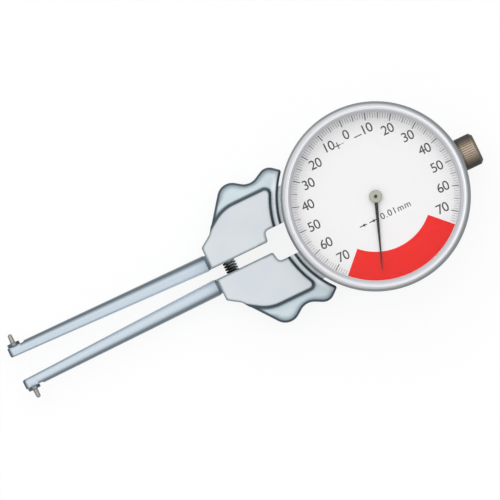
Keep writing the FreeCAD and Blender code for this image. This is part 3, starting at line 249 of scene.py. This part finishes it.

# Painted shade beside the edges and in the corners, by how far a rounded normal leaves the true
# one. It is wider on the horns and in the notch of the slot.
edge_shade_reach = add(tree, "MapRange", links={"Value": aside.outputs[0]},
           values={"From Min": HORN_IN, "From Max": HORN_OUT,
                   "To Min": THIN_EDGE_SHADE, "To Max": WIDE_EDGE_SHADE})
edge_shade_reach = add(tree, "Mix", values={"B": PLATE_EDGE_SHADE},
           links={"Factor": plate.outputs[0], "A": edge_shade_reach.outputs[0]})
rounded = add(tree, "Bevel", links={"Radius": edge_shade_reach.outputs[0]}, samples=10)
straight = add(tree, "NewGeometry")
turned = add(tree, "VectorMath", operation="DOT_PRODUCT",
             links={0: rounded.outputs[0], 1: straight.outputs["Normal"]})
wide = add(tree, "ValToRGB", links={0: turned.outputs["Value"]},
           stops=((0.75, "#77838B"), (0.9995, "#FFFFFF"), (0.93, "#8F9AA1"), (0.99, "#D0D6D9")))
thin = add(tree, "ValToRGB", links={0: turned.outputs["Value"]},
           stops=((0.75, "#6F7B83"), (0.99, "#FFFFFF"), (0.925, "#8B959C")))
along = add(tree, "MapRange", values={"From Min": NOTCH_FRONT, "From Max": NOTCH_REAR},
            links={"Value": place.outputs["X"]})
beside = add(tree, "MapRange", values={"From Min": NOTCH_OUT, "From Max": NOTCH_IN},
             links={"Value": aside.outputs[0]})
notch = add(tree, "Math", operation="MULTIPLY",
            links={0: along.outputs[0], 1: beside.outputs[0]})
thin = add(tree, "Mix", data_type="RGBA",
           links={SHARE: notch.outputs[0], FIRST: thin.outputs[0], SECOND: wide.outputs[0]})
painted_edge_shade = add(tree, "Mix", data_type="RGBA",
           links={SHARE: plate.outputs[0], FIRST: wide.outputs[0], SECOND: thin.outputs[MIXED]})
# Painted light on the rib takes the painted edge shade off it.
painted_edge_shade = add(tree, "Mix", data_type="RGBA", values={SECOND: linear("#FFFFFF")},
           links={SHARE: painted_rib_light.outputs[0], FIRST: painted_edge_shade.outputs[MIXED]})
coat_and_shade = add(tree, "Mix", data_type="RGBA", blend_type="MULTIPLY", values={SHARE: 1.0},
           links={FIRST: coat_and_shade.outputs[MIXED], SECOND: painted_edge_shade.outputs[MIXED]})

# The upright sides are plain enamel.
upright = add(tree, "MapRange", values={"From Min": SIDE_STARTS, "From Max": SIDE_FULL},
              links={"Value": slope.outputs[0]})
coat_and_shade = add(tree, "Mix", data_type="RGBA", values={SECOND: linear("#AEB9BF")},
           links={SHARE: upright.outputs[0], FIRST: coat_and_shade.outputs[MIXED]})
tree.links.new(coat_and_shade.outputs[MIXED], shader.inputs["Base Color"])
dressed(["handle_upper", "handle_lower"], enamel)


# Legs
# Long tapered steel rods, ground and satin chromed. Painted shade makes the outer flank darker
# than the flank that faces the other leg, and fine grinding marks run around the taper.
LINE_SLOPE, LINE_START = -0.02252, 0.00275    # the leg's middle line, beside the gauge's own
HALF_SLOPE, HALF_START = 0.01276, 0.003205    # half the leg's thickness, by the same distance
SEAT_END, TAPER_START = -0.1158, -0.1152      # from the flat of the contact point to the taper
RIM_START, RIM_END = -0.118, -0.056           # along the leg, where its inner rim fades
TIP_FRONT, TIP_REAR = -0.1195, -0.1182        # the rounded edge of the leg's end
GROOVE_FRONT, GROOVE_REAR = -0.05462, -0.05450    # the groove at the handle
UNDER_STARTS, UNDER_FULL = 0.40, 0.15         # how far a normal points up on the lower half
BLUNT_STARTS, BLUNT_FULL = -0.85, -0.97       # how far it points along the gauge at the end

chrome, tree, shader = new_finish("satin_chromed_leg_steel", "#BDC9D3", 0.12, 0.42)
points = grained(tree, shader, 0.3, 0.004, (4, 1, 1))

# How far a point lies off the leg's middle line, from 0 inside to 1 outside.
place = add(tree, "SeparateXYZ", links={0: points.outputs["Object"]})
aside = add(tree, "Math", operation="ABSOLUTE", links={0: place.outputs["Y"]})
line = add(tree, "Math", operation="MULTIPLY_ADD", values={1: LINE_SLOPE, 2: LINE_START},
           links={0: place.outputs["X"]})
off = add(tree, "Math", operation="SUBTRACT", links={0: aside.outputs[0], 1: line.outputs[0]})
thick = add(tree, "Math", operation="MULTIPLY_ADD", values={1: HALF_SLOPE, 2: HALF_START},
            links={0: place.outputs["X"]})
around = add(tree, "Math", operation="DIVIDE", links={0: off.outputs[0], 1: thick.outputs[0]})
outward = add(tree, "MapRange", values={"From Min": -1.0, "From Max": 1.0},
              links={"Value": around.outputs[0]})

# The painted shade of the outer flank, which the flat under the contact point hasn't, and the
# painted shade of the thin inner rim.
painted_flank_shade = add(tree, "ValToRGB", links={0: outward.outputs[0]},
            stops=((0.0, "#E4F2FE"), (1.0, "#7A8993"), (0.56, "#E3F1FD"), (0.645, "#CDDCE8"),
                   (0.705, "#AFBCC8"), (0.77, "#8B98A3"), (0.84, "#66727C")))
taper = add(tree, "MapRange", values={"From Min": SEAT_END, "From Max": TAPER_START},
            links={"Value": place.outputs["X"]})
tone = add(tree, "Mix", data_type="RGBA", values={FIRST: linear("#E3F1FD")},
           links={SHARE: taper.outputs[0], SECOND: painted_flank_shade.outputs[0]})
painted_rim_shade = add(tree, "ValToRGB", links={0: outward.outputs[0]},
          stops=((0.04, "#97A2A9"), (0.18, "#FFFFFF"), (0.10, "#B4BEC5")))
fade = add(tree, "MapRange", links={"Value": place.outputs["X"]},
           values={"From Min": RIM_START, "From Max": RIM_END, "To Min": 1.0, "To Max": 0.25})
tone = add(tree, "Mix", data_type="RGBA", blend_type="MULTIPLY",
           links={SHARE: fade.outputs[0], FIRST: tone.outputs[MIXED], SECOND: painted_rim_shade.outputs[0]})

# The lamp stands to one side, and this takes out its difference between the two legs.
facing = add(tree, "SeparateXYZ", links={0: points.outputs["Normal"]})
lean = add(tree, "MapRange", values={"From Min": -1.0, "From Max": 1.0},
           links={"Value": facing.outputs["Y"]})
even = add(tree, "ValToRGB", links={0: lean.outputs[0]},
           stops=((0.15, "#FFFFFF"), (0.50, "#DADADA"), (0.275, "#F0F0F0"), (0.40, "#E3E3E3")))
tone = add(tree, "Mix", data_type="RGBA", blend_type="MULTIPLY", values={SHARE: 1.0},
           links={FIRST: tone.outputs[MIXED], SECOND: even.outputs[0]})

# Painted shade on the rounded edge of the tip, on the lower half, on the blunt end and in the
# groove.
end = add(tree, "MapRange", values={"From Min": TIP_FRONT, "From Max": TIP_REAR},
          links={"Value": place.outputs["X"]})
painted_tip_shade = add(tree, "ValToRGB", links={0: end.outputs[0]},
          stops=((0.0, "#4F5A62"), (0.9, "#FFFFFF"), (0.35, "#5C6870"), (0.577, "#B8C0C5"),
                 (0.77, "#E8ECEE")))
tone = add(tree, "Mix", data_type="RGBA", blend_type="MULTIPLY", values={SHARE: 1.0},
           links={FIRST: tone.outputs[MIXED], SECOND: painted_tip_shade.outputs[0]})
under = add(tree, "MapRange", values={"From Min": UNDER_STARTS, "From Max": UNDER_FULL},
            links={"Value": facing.outputs["Z"]})
tone = add(tree, "Mix", data_type="RGBA", values={SECOND: linear("#B4C0C9")},
           links={SHARE: under.outputs[0], FIRST: tone.outputs[MIXED]})
painted_blunt_end_shade = add(tree, "MapRange", values={"From Min": BLUNT_STARTS, "From Max": BLUNT_FULL},
            links={"Value": facing.outputs["X"]})
tone = add(tree, "Mix", data_type="RGBA", values={SECOND: linear("#A4B0B9")},
           links={SHARE: painted_blunt_end_shade.outputs[0], FIRST: tone.outputs[MIXED]})
painted_groove_shade = add(tree, "MapRange", values={"From Min": GROOVE_FRONT, "From Max": GROOVE_REAR},
             links={"Value": place.outputs["X"]})
tone = add(tree, "Mix", data_type="RGBA", values={SECOND: linear("#6F7D87")},
           links={SHARE: painted_groove_shade.outputs[0], FIRST: tone.outputs[MIXED]})
tree.links.new(tone.outputs[MIXED], shader.inputs["Base Color"])
dressed(["leg_upper", "leg_lower"], chrome)


# Contact points
# Hardened steel, turned and pressed through the tips of the legs. The collar is blued nearly
# black by its heat treatment, and the pin that touches the bore is ground bright.
COLLAR_END, PIN_START = 0.00771, 0.00779      # beside the gauge's middle line
COLLAR_FRONT, COLLAR_REAR = -0.1192, -0.1153

steel, tree, shader = new_finish("blued_and_ground_contact_steel", "#8E8C88", 0.8, 0.3)
points = grained(tree, shader, 0.25, 0.004)
place = add(tree, "SeparateXYZ", links={0: points.outputs["Object"]})
reach = add(tree, "Math", operation="ABSOLUTE", links={0: place.outputs["Y"]})
bright = add(tree, "MapRange", values={"From Min": COLLAR_END, "From Max": PIN_START},
             links={"Value": reach.outputs[0]})
across = add(tree, "MapRange", values={"From Min": COLLAR_FRONT, "From Max": COLLAR_REAR},
             links={"Value": place.outputs["X"]})
# The collar's blued tone, with a painted highlight across its middle and painted shade towards
# its rear end.
blued_with_highlight = add(tree, "ValToRGB", links={0: across.outputs[0]},
           stops=((0.0, "#596066"), (1.0, "#4A5157"), (0.35, "#596066"), (0.5, "#757C81"),
                  (0.65, "#767C80"), (0.8, "#4F565B")))
tone = add(tree, "Mix", data_type="RGBA", values={SECOND: linear("#93908D")},
           links={SHARE: bright.outputs[0], FIRST: blued_with_highlight.outputs[0]})
tree.links.new(tone.outputs[MIXED], shader.inputs["Base Color"])
dressed(["contact_upper", "contact_lower"], steel)


# Screws, pins, springs, spindle and wheels
# What holds and moves the gauge from inside: ground steel arbors, pins and spindle, turned brass
# wheels and bridge, and bright spring wire.
steel, tree, shader = new_finish("ground_steel", "#B4B6B8", 0.9, 0.28)
grained(tree, shader, 0.2, 0.003)
dressed(["pivot_pins", "leg_screw_upper", "leg_screw_lower", "rear_cover_screws", "spindle",
         "spindle_foot", "first_arbor", "second_arbor", "takeup_arbor", "bridge_screws"], steel)

wire, tree, shader = new_finish("bright_spring_wire", "#9A9CA2", 0.9, 0.3)
grained(tree, shader, 0.2, 0.002)
dressed(["hairspring", "bezel_clip"], wire)

brass, tree, shader = new_finish("turned_brass", "#C9A961", 0.9, 0.3)
grained(tree, shader, 0.25, 0.003)
dressed(["first_wheel", "second_wheel", "takeup_wheel", "hairspring_collet", "hairspring_stud",
         "movement_bridge", "bridge_pillars"], brass)


# Handle spring
# Black oxidised spring wire, wound in an open coil across the slot. It pushes the handles apart
# and is squeezed between them as the legs close. A painted highlight lightens one side of the
# coil.
def wound(name, radius, wire_radius, long, turns, start, turn):
    """A coil of round wire, turned from upright and set from its start, as its own mesh."""
    wire_sides, steps_a_turn = 10, 24
    bpy.ops.object.select_all(action="DESELECT")
    bpy.ops.mesh.primitive_circle_add(vertices=wire_sides, radius=wire_radius,
                                      location=(radius, 0, 0), rotation=(math.pi / 2, 0, 0))
    coil = bpy.context.object
    coil.name = name
    bpy.ops.object.transform_apply(location=True, rotation=True, scale=True)
    winding = coil.modifiers.new("winding", "SCREW")
    winding.axis = "Z"
    winding.screw_offset = long / turns
    winding.iterations = turns
    winding.steps = winding.render_steps = steps_a_turn
    winding.use_normal_calculate = True
    bpy.ops.object.modifier_apply(modifier="winding")
    bpy.ops.object.mode_set(mode="EDIT")
    bpy.ops.mesh.select_all(action="DESELECT")
    bpy.ops.mesh.select_non_manifold()
    bpy.ops.mesh.edge_face_add()
    bpy.ops.mesh.select_all(action="SELECT")
    bpy.ops.mesh.normals_make_consistent(inside=False)
    bpy.ops.object.mode_set(mode="OBJECT")
    coil.location = start
    coil.rotation_euler = turn
    bpy.ops.object.transform_apply(location=True, rotation=True, scale=True)
    bpy.ops.object.shade_smooth()
    return coil


HIGHLIGHT_SLANT = 0.75                      # how far the painted highlight moves along for each step across
HIGHLIGHT_DARK, HIGHLIGHT_LIGHT = -0.0490, -0.0464

black, tree, shader = new_finish("black_oxide_spring_wire", "#1B1C1E", 0.3, 0.35)
points = grained(tree, shader, 0.2, 0.003)
place = add(tree, "SeparateXYZ", links={0: points.outputs["Object"]})
slant = add(tree, "Math", operation="MULTIPLY_ADD", values={1: HIGHLIGHT_SLANT},
            links={0: place.outputs["Y"], 2: place.outputs["X"]})
painted_highlight = add(tree, "MapRange", values={"From Min": HIGHLIGHT_DARK, "From Max": HIGHLIGHT_LIGHT},
            links={"Value": slant.outputs[0]})
tone = add(tree, "ValToRGB", links={0: painted_highlight.outputs[0]},
           stops=((0.0, "#0E0F10"), (1.0, "#A0A3A6"), (0.3, "#3A3C3E")))
tree.links.new(tone.outputs[0], shader.inputs["Base Color"])
spring = wound("handle_spring_coil", radius=0.00176, wire_radius=0.0003, long=0.01206,
               turns=14, start=(-0.0482, -0.00603, 0.011), turn=(-math.pi / 2, 0, 0))
spring.data.materials.append(black)
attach(spring, "case_unit")
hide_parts("handle_spring")
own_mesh(spring)


# Spindle spring
# Bright spring wire, wound in an open coil round the spindle between its foot and the case. It
# holds the foot against the levers and shortens as they push it in.
spring = wound("spindle_spring_coil", radius=0.0023, wire_radius=0.00022, long=0.00616,
               turns=7, start=(-0.01238, 0, 0.0086), turn=(0, math.pi / 2, 0))
spring.data.materials.append(wire)
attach(spring, "case_unit")
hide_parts("spindle_spring")
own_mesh(spring)


# Spindle cap
# A steel cap with a straight knurl, left in the brown tone of its oxide, screwed on the case's
# neck. Painted shade darkens its turned ends and the sides of the barrel that turn away.
CAP_MIDDLE, CAP_RADIUS = 0.0001, 0.005
CAP_FRONT, CAP_REAR = 0.0281, 0.0340

brown, tree, shader = new_finish("brown_oxide_knurled_steel", "#A08F80", 0.4, 0.45)
points = grained(tree, shader, 0.3, 0.01)
place = add(tree, "SeparateXYZ", links={0: points.outputs["Object"]})
aside = add(tree, "Math", operation="SUBTRACT", values={1: CAP_MIDDLE},
            links={0: place.outputs["Y"]})
aside = add(tree, "Math", operation="ABSOLUTE", links={0: aside.outputs[0]})
away = add(tree, "MapRange", values={"From Min": 0.0, "From Max": CAP_RADIUS},
           links={"Value": aside.outputs[0]})
# Painted shade, darker towards the sides of the barrel.
tone = add(tree, "ValToRGB", links={0: away.outputs[0]},
           stops=((0.0, "#BCAA9B"), (1.0, "#12110F"), (0.34, "#AF9F8D"), (0.5, "#8F826F"),
                  (0.66, "#6C6455"), (0.82, "#34322C")))
along = add(tree, "MapRange", values={"From Min": CAP_FRONT, "From Max": CAP_REAR},
            links={"Value": place.outputs["X"]})
# Painted shade on the turned ends.
painted_cap_end_shade = add(tree, "ValToRGB", links={0: along.outputs[0]},
           stops=((0.0, "#D8D8D8"), (1.0, "#AAAAAA"), (0.06, "#B5B5B5"), (0.16, "#C4C4C4"),
                  (0.22, "#FFFFFF"), (0.72, "#F2F2F2"), (0.87, "#D8D8D8"), (0.9, "#A0A0A0")))
tone = add(tree, "Mix", data_type="RGBA", blend_type="MULTIPLY", values={SHARE: 1.0},
           links={FIRST: tone.outputs[0], SECOND: painted_cap_end_shade.outputs[0]})
tree.links.new(tone.outputs[MIXED], shader.inputs["Base Color"])
dressed(["spindle_cap"], brown)


# Bezel
# A turned brass ring in satin chrome, which turns on the case to set the zero. Rings of painted
# highlight and painted shade run round it: its crown is bright, and the steep outer bevel and
# the slope down to the crystal are greyer.
CROWN_IN, CROWN_OUT = 0.0253, 0.0285
PAINTED_LIGHT_CENTRE = (-0.00015, 0.00008, 0.0)      # the painted highlight and shade run a hair off the dial's centre
# Radians of ripple a metre. They make a turning mark each 0.35 mm, which is coarser than the
# real marks, so that they show.
MARKS_TURN = 18000.0

chrome, tree, shader = new_finish("satin_chromed_bezel", "#DADBDE", 0.55, 0.3)
points = add(tree, "TexCoord")
place = add(tree, "SeparateXYZ", links={0: points.outputs["Object"]})
flat = add(tree, "CombineXYZ", links={0: place.outputs["X"], 1: place.outputs["Y"]})
radius = add(tree, "VectorMath", operation="LENGTH", links={0: flat.outputs[0]})
marks = add(tree, "Math", operation="MULTIPLY", values={1: MARKS_TURN},
            links={0: radius.outputs["Value"]})
ripple = add(tree, "Math", operation="SINE", links={0: marks.outputs[0]})
rise = add(tree, "Bump", values={"Strength": 0.25, "Distance": 0.00001},
           links={"Height": ripple.outputs[0]})
tree.links.new(rise.outputs[0], shader.inputs["Normal"])
reach_from_light_centre = add(tree, "VectorMath", operation="DISTANCE", values={1: PAINTED_LIGHT_CENTRE},
             links={0: flat.outputs[0]})
crown = add(tree, "MapRange", values={"From Min": CROWN_IN, "From Max": CROWN_OUT},
            links={"Value": reach_from_light_centre.outputs["Value"]})
# Rings of painted highlight and painted shade, by the distance from that centre.
tone = add(tree, "ValToRGB", links={0: crown.outputs[0]},
           stops=((0.0, "#BEC0C4"), (1.0, "#7A8082"), (0.10, "#C0C2C6"), (0.28, "#D4D5D9"),
                  (0.36, "#C0C1C5"), (0.45, "#BEBFC3"), (0.62, "#DFE0E3"), (0.74, "#B5B7BA"),
                  (0.81, "#83878A"), (0.87, "#808587")))
facing = add(tree, "SeparateXYZ", links={0: points.outputs["Normal"]})
slope = add(tree, "Math", operation="ABSOLUTE", links={0: facing.outputs["Z"]})
upright = add(tree, "MapRange", values={"From Min": SIDE_STARTS, "From Max": SIDE_FULL},
              links={"Value": slope.outputs[0]})
tone = add(tree, "Mix", data_type="RGBA", values={SECOND: linear("#BCBEC2")},
           links={SHARE: upright.outputs[0], FIRST: tone.outputs[0]})
tree.links.new(tone.outputs[MIXED], shader.inputs["Base Color"])
dressed(["bezel"], chrome)


# Crystal and inner ring
# A clear acrylic disc on a light grey moulded ring. The clear disc mirrors a little of the room
# and lets the light down to the dial.
ACRYLIC_IOR = 1.49

clear = bpy.data.materials.new("clear_acrylic_crystal")
clear.use_nodes = True
tree = clear.node_tree
tree.nodes.clear()
through = add(tree, "BsdfTransparent", values={"Color": linear("#FFFFFF")})
mirror = add(tree, "BsdfGlossy", values={"Color": linear("#9A9C9E"), "Roughness": 0.03})
skin = add(tree, "Fresnel", values={"IOR": ACRYLIC_IOR})
sides = add(tree, "NewGeometry")
front = add(tree, "Math", operation="SUBTRACT", values={0: 1.0},
            links={1: sides.outputs["Backfacing"]})
share = add(tree, "Math", operation="MULTIPLY", links={0: skin.outputs[0], 1: front.outputs[0]})
both = add(tree, "MixShader",
           links={0: share.outputs[0], 1: through.outputs[0], 2: mirror.outputs[0]})
add(tree, "OutputMaterial", links={"Surface": both.outputs[0]})
dressed(["crystal"], clear)

moulded, tree, shader = new_finish("moulded_grey_ring", "#C9CACF", 0.0, 0.4)
grained(tree, shader, 0.3, 0.004)
dressed(["dial_ring"], moulded)


# Dial
# A stamped aluminium disc in matt white lacquer. The scale, figures and band are screen-printed
# on it, so each is a film of ink that stands just proud of the lacquer.
lacquer, tree, shader = new_finish("matt_white_dial_lacquer", "#FBFAFA", 0.0, 0.55)
grained(tree, shader, 0.3, 0.003)
dressed(["dial_plate"], lacquer)

# The height of the lacquer's face, and how thick the film of ink is.
FACE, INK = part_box("dial_plate")[1].z, 0.00002
DIVISION = 1.8                          # degrees: 200 divisions of 0.01 mm make a turn
SCALE_OUTER = 0.0252                    # radius where the strokes and the band end
FULL_BLACK = 0.024                      # above and below the centre, where the scale is black
CORNER = 0.00008                        # radius that the printing screen leaves at a corner
MERGED = 0.000001                       # points nearer than this are one

black_ink, tree, shader = new_finish("black_printing_ink", "#2A2A2E", 0.0, 0.5)
grained(tree, shader, 0.2, 0.002)
red_ink, tree, shader = new_finish("red_printing_ink", "#F81408", 0.0, 0.5)
shader.inputs["Specular IOR Level"].default_value = 0.15
grained(tree, shader, 0.2, 0.002)

# The scale's fine lines are greyer towards the sides of the dial, and black above and below its
# centre.
scale_ink, tree, shader = new_finish("black_scale_ink_greyer_at_sides", "#2A2A2E", 0.0, 0.5)
points = grained(tree, shader, 0.2, 0.002)
place = add(tree, "SeparateXYZ", links={0: points.outputs["Object"]})
height = add(tree, "Math", operation="ABSOLUTE", links={0: place.outputs["Y"]})
upward = add(tree, "MapRange", values={"From Min": 0.0, "From Max": FULL_BLACK},
             links={"Value": height.outputs[0]})
tone = add(tree, "ValToRGB", links={0: upward.outputs[0]},
           stops=((0.0, "#A6A6AA"), (1.0, "#2A2A2E"), (0.36, "#A0A0A4"), (0.66, "#7C7C80"),
                  (0.88, "#48484C")))
tree.links.new(tone.outputs[0], shader.inputs["Base Color"])


def printed(piece, name, ink):
    """Names a printed piece, gives it its ink and lets it turn with the bezel."""
    piece.name = name
    piece.data.materials.clear()
    piece.data.materials.append(ink)
    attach(piece, "bezel_unit")


def strokes(name, inner, wide, apart, each_side):
    """Equal printed strokes, some degrees apart: one is shaped on the left, then set round the
    dial over the top to the right, so that none lies under the red band."""
    turn, middle = math.radians(apart * each_side), (inner + SCALE_OUTER) / 2
    bpy.ops.object.select_all(action="DESELECT")
    bpy.ops.mesh.primitive_cube_add(
        size=1, rotation=(0, 0, turn), scale=(wide, SCALE_OUTER - inner, INK),
        location=(-middle * math.sin(turn), middle * math.cos(turn), FACE + INK / 2))
    ring = bpy.context.object
    bpy.ops.object.transform_apply(location=True, rotation=True, scale=True)
    bpy.ops.object.mode_set(mode="EDIT")
    bpy.ops.mesh.select_all(action="SELECT")
    bpy.ops.mesh.spin(steps=2 * each_side, dupli=True, angle=2 * turn,
                      center=(0, 0, 0), axis=(0, 0, 1))
    bpy.ops.mesh.select_all(action="SELECT")
    bpy.ops.mesh.normals_make_consistent(inside=False)
    bpy.ops.object.mode_set(mode="OBJECT")
    printed(ring, name, scale_ink)


strokes("scale_strokes_fine", inner=0.0236, wide=0.00010, apart=DIVISION, each_side=74)
strokes("scale_strokes_five", inner=0.0234, wide=0.00020, apart=5 * DIVISION, each_side=14)
strokes("scale_strokes_ten", inner=0.0230, wide=0.00028, apart=10 * DIVISION, each_side=7)


def lettered(name, text, x, y, high, spacing=0.92):
    """Printed figures, upright, centred on a point of the dial. Their rims slope into the
    lacquer."""
    figure_share = 0.73                 # how high a figure stands in the size of its type
    bpy.ops.object.select_all(action="DESELECT")
    bpy.ops.object.text_add(location=(0, 0, 0))
    word = bpy.context.object
    word.data.body = text
    word.data.size = high / figure_share
    word.data.space_character = spacing
    word.data.align_x, word.data.align_y = "CENTER", "CENTER"
    word.data.bevel_depth = INK
    word.data.bevel_resolution = 0
    word.data.resolution_u = 6
    bpy.ops.object.convert(target="MESH")
    word = bpy.context.object
    word.location = (x, y, FACE)
    bpy.ops.object.transform_apply(location=True, rotation=True, scale=True)
    bpy.ops.object.mode_set(mode="EDIT")
    bpy.ops.mesh.select_all(action="SELECT")
    bpy.ops.mesh.remove_doubles(threshold=MERGED)
    bpy.ops.mesh.normals_make_consistent(inside=False)
    bpy.ops.object.mode_set(mode="OBJECT")
    printed(word, name, black_ink)


FIGURE_RING, FIGURE_HIGH = 0.0204, 0.0030
for step in range(8):
    turn = math.radians(10 * DIVISION * step)
    for side, label in ((1, "right"), (-1, "left")):
        if step == 0 and label == "left":
            continue                    # the scale has one nought, at the top
        lettered("figure_%d_%s" % (10 * step, label), str(10 * step),
                 side * FIGURE_RING * math.sin(turn), FIGURE_RING * math.cos(turn), FIGURE_HIGH)

SIGNS_Y, UNIT_Y = 0.0186, -0.0063       # the lines of the two signs and of the unit mark
lettered("unit_mark", "0.01mm", 0.0036, UNIT_Y, high=0.0020, spacing=1.14)


def rounded_off(piece):
    """Rounds the upright edges of a film of ink, as the mesh of the printing screen does."""
    for edge in piece.data.edges:
        low, high = [piece.data.vertices[corner].co for corner in edge.vertices]
        edge.select = (low - high).xy.length < MERGED
    for face in piece.data.polygons:
        face.select = False
    bpy.context.tool_settings.mesh_select_mode = (False, True, False)
    bpy.ops.object.mode_set(mode="EDIT")
    bpy.ops.mesh.bevel(offset=CORNER, segments=3, affect="EDGES")
    bpy.ops.object.mode_set(mode="OBJECT")


def bar(name, x, y, wide, high):
    """One short printed bar with rounded corners."""
    bpy.ops.object.select_all(action="DESELECT")
    bpy.ops.mesh.primitive_cube_add(size=1, location=(x, y, FACE + INK / 2),
                                    scale=(wide, high, INK))
    bpy.ops.object.transform_apply(location=True, rotation=True, scale=True)
    rounded_off(bpy.context.object)
    printed(bpy.context.object, name, black_ink)


bar("plus_across", -0.0036, SIGNS_Y, wide=0.0019, high=0.0003)
bar("plus_upright", -0.0036, SIGNS_Y, wide=0.0003, high=0.0021)
bar("plus_tail", -0.0020, SIGNS_Y, wide=0.0007, high=0.0002)
bar("minus_bar", 0.0031, SIGNS_Y, wide=0.0025, high=0.0003)
bar("arrow_tail_outer", -0.0071, UNIT_Y, wide=0.0024, high=0.0003)
bar("arrow_tail_inner", -0.0039, UNIT_Y, wide=0.0024, high=0.0003)
for label, x in (("outer", -0.0069), ("inner", -0.0037)):
    bpy.ops.object.select_all(action="DESELECT")
    bpy.ops.mesh.primitive_cylinder_add(vertices=3, radius=0.0006, depth=INK,
                                        location=(x, UNIT_Y, FACE + INK / 2),
                                        rotation=(0, 0, math.pi / 2))
    bpy.ops.object.transform_apply(location=True, rotation=True, scale=True)
    rounded_off(bpy.context.object)
    printed(bpy.context.object, "arrow_head_" + label, black_ink)

# The red band is a line across its width, swept through a quarter turn and given the film's
# thickness.
RED_MIDDLE, RED_WIDE = 0.02089, 0.00862
RED_START, RED_SWEEP = math.radians(225), math.radians(90)
bpy.ops.object.select_all(action="DESELECT")
bpy.ops.mesh.primitive_plane_add(
    size=RED_WIDE, rotation=(0, 0, RED_START),
    location=(RED_MIDDLE * math.cos(RED_START), RED_MIDDLE * math.sin(RED_START), FACE))
band = bpy.context.object
band.scale.y = 0
bpy.ops.object.transform_apply(location=True, rotation=True, scale=True)
bpy.ops.object.mode_set(mode="EDIT")
bpy.ops.mesh.select_all(action="SELECT")
bpy.ops.mesh.remove_doubles(threshold=MERGED)
bpy.ops.mesh.spin(steps=48, angle=-RED_SWEEP, center=(0, 0, 0), axis=(0, 0, 1))
bpy.ops.mesh.select_all(action="SELECT")
bpy.ops.mesh.normals_make_consistent(inside=False)
bpy.ops.object.mode_set(mode="OBJECT")
if band.data.polygons[0].normal.z < 0:
    bpy.ops.object.mode_set(mode="EDIT")
    bpy.ops.mesh.select_all(action="SELECT")
    bpy.ops.mesh.flip_normals()
    bpy.ops.object.mode_set(mode="OBJECT")
film = band.modifiers.new("film", "SOLIDIFY")
film.thickness = INK
film.offset = 1
bpy.ops.object.modifier_apply(modifier="film")
printed(band, "red_band", red_ink)


# Hand and hub
# A stamped aluminium hand in matt black lacquer on a dull brass hub, riveted to the end of the
# centre arbor, whose end is near black: painted shade for the hollow at the hub's centre.
black_lacquer, tree, shader = new_finish("matt_black_hand_lacquer", "#060607", 0.0, 0.7)
grained(tree, shader, 0.2, 0.002)
dressed(["hand"], black_lacquer)

dull_brass, tree, shader = new_finish("dull_green_gold_hub", "#A6A799", 0.4, 0.45)
grained(tree, shader, 0.2, 0.003)
dressed(["hand_hub"], dull_brass)

shaded_arbor, tree, shader = new_finish("arbor_steel_with_painted_shade", "#17181C", 0.6, 0.35)
grained(tree, shader, 0.2, 0.002)
dressed(["centre_arbor"], shaded_arbor)
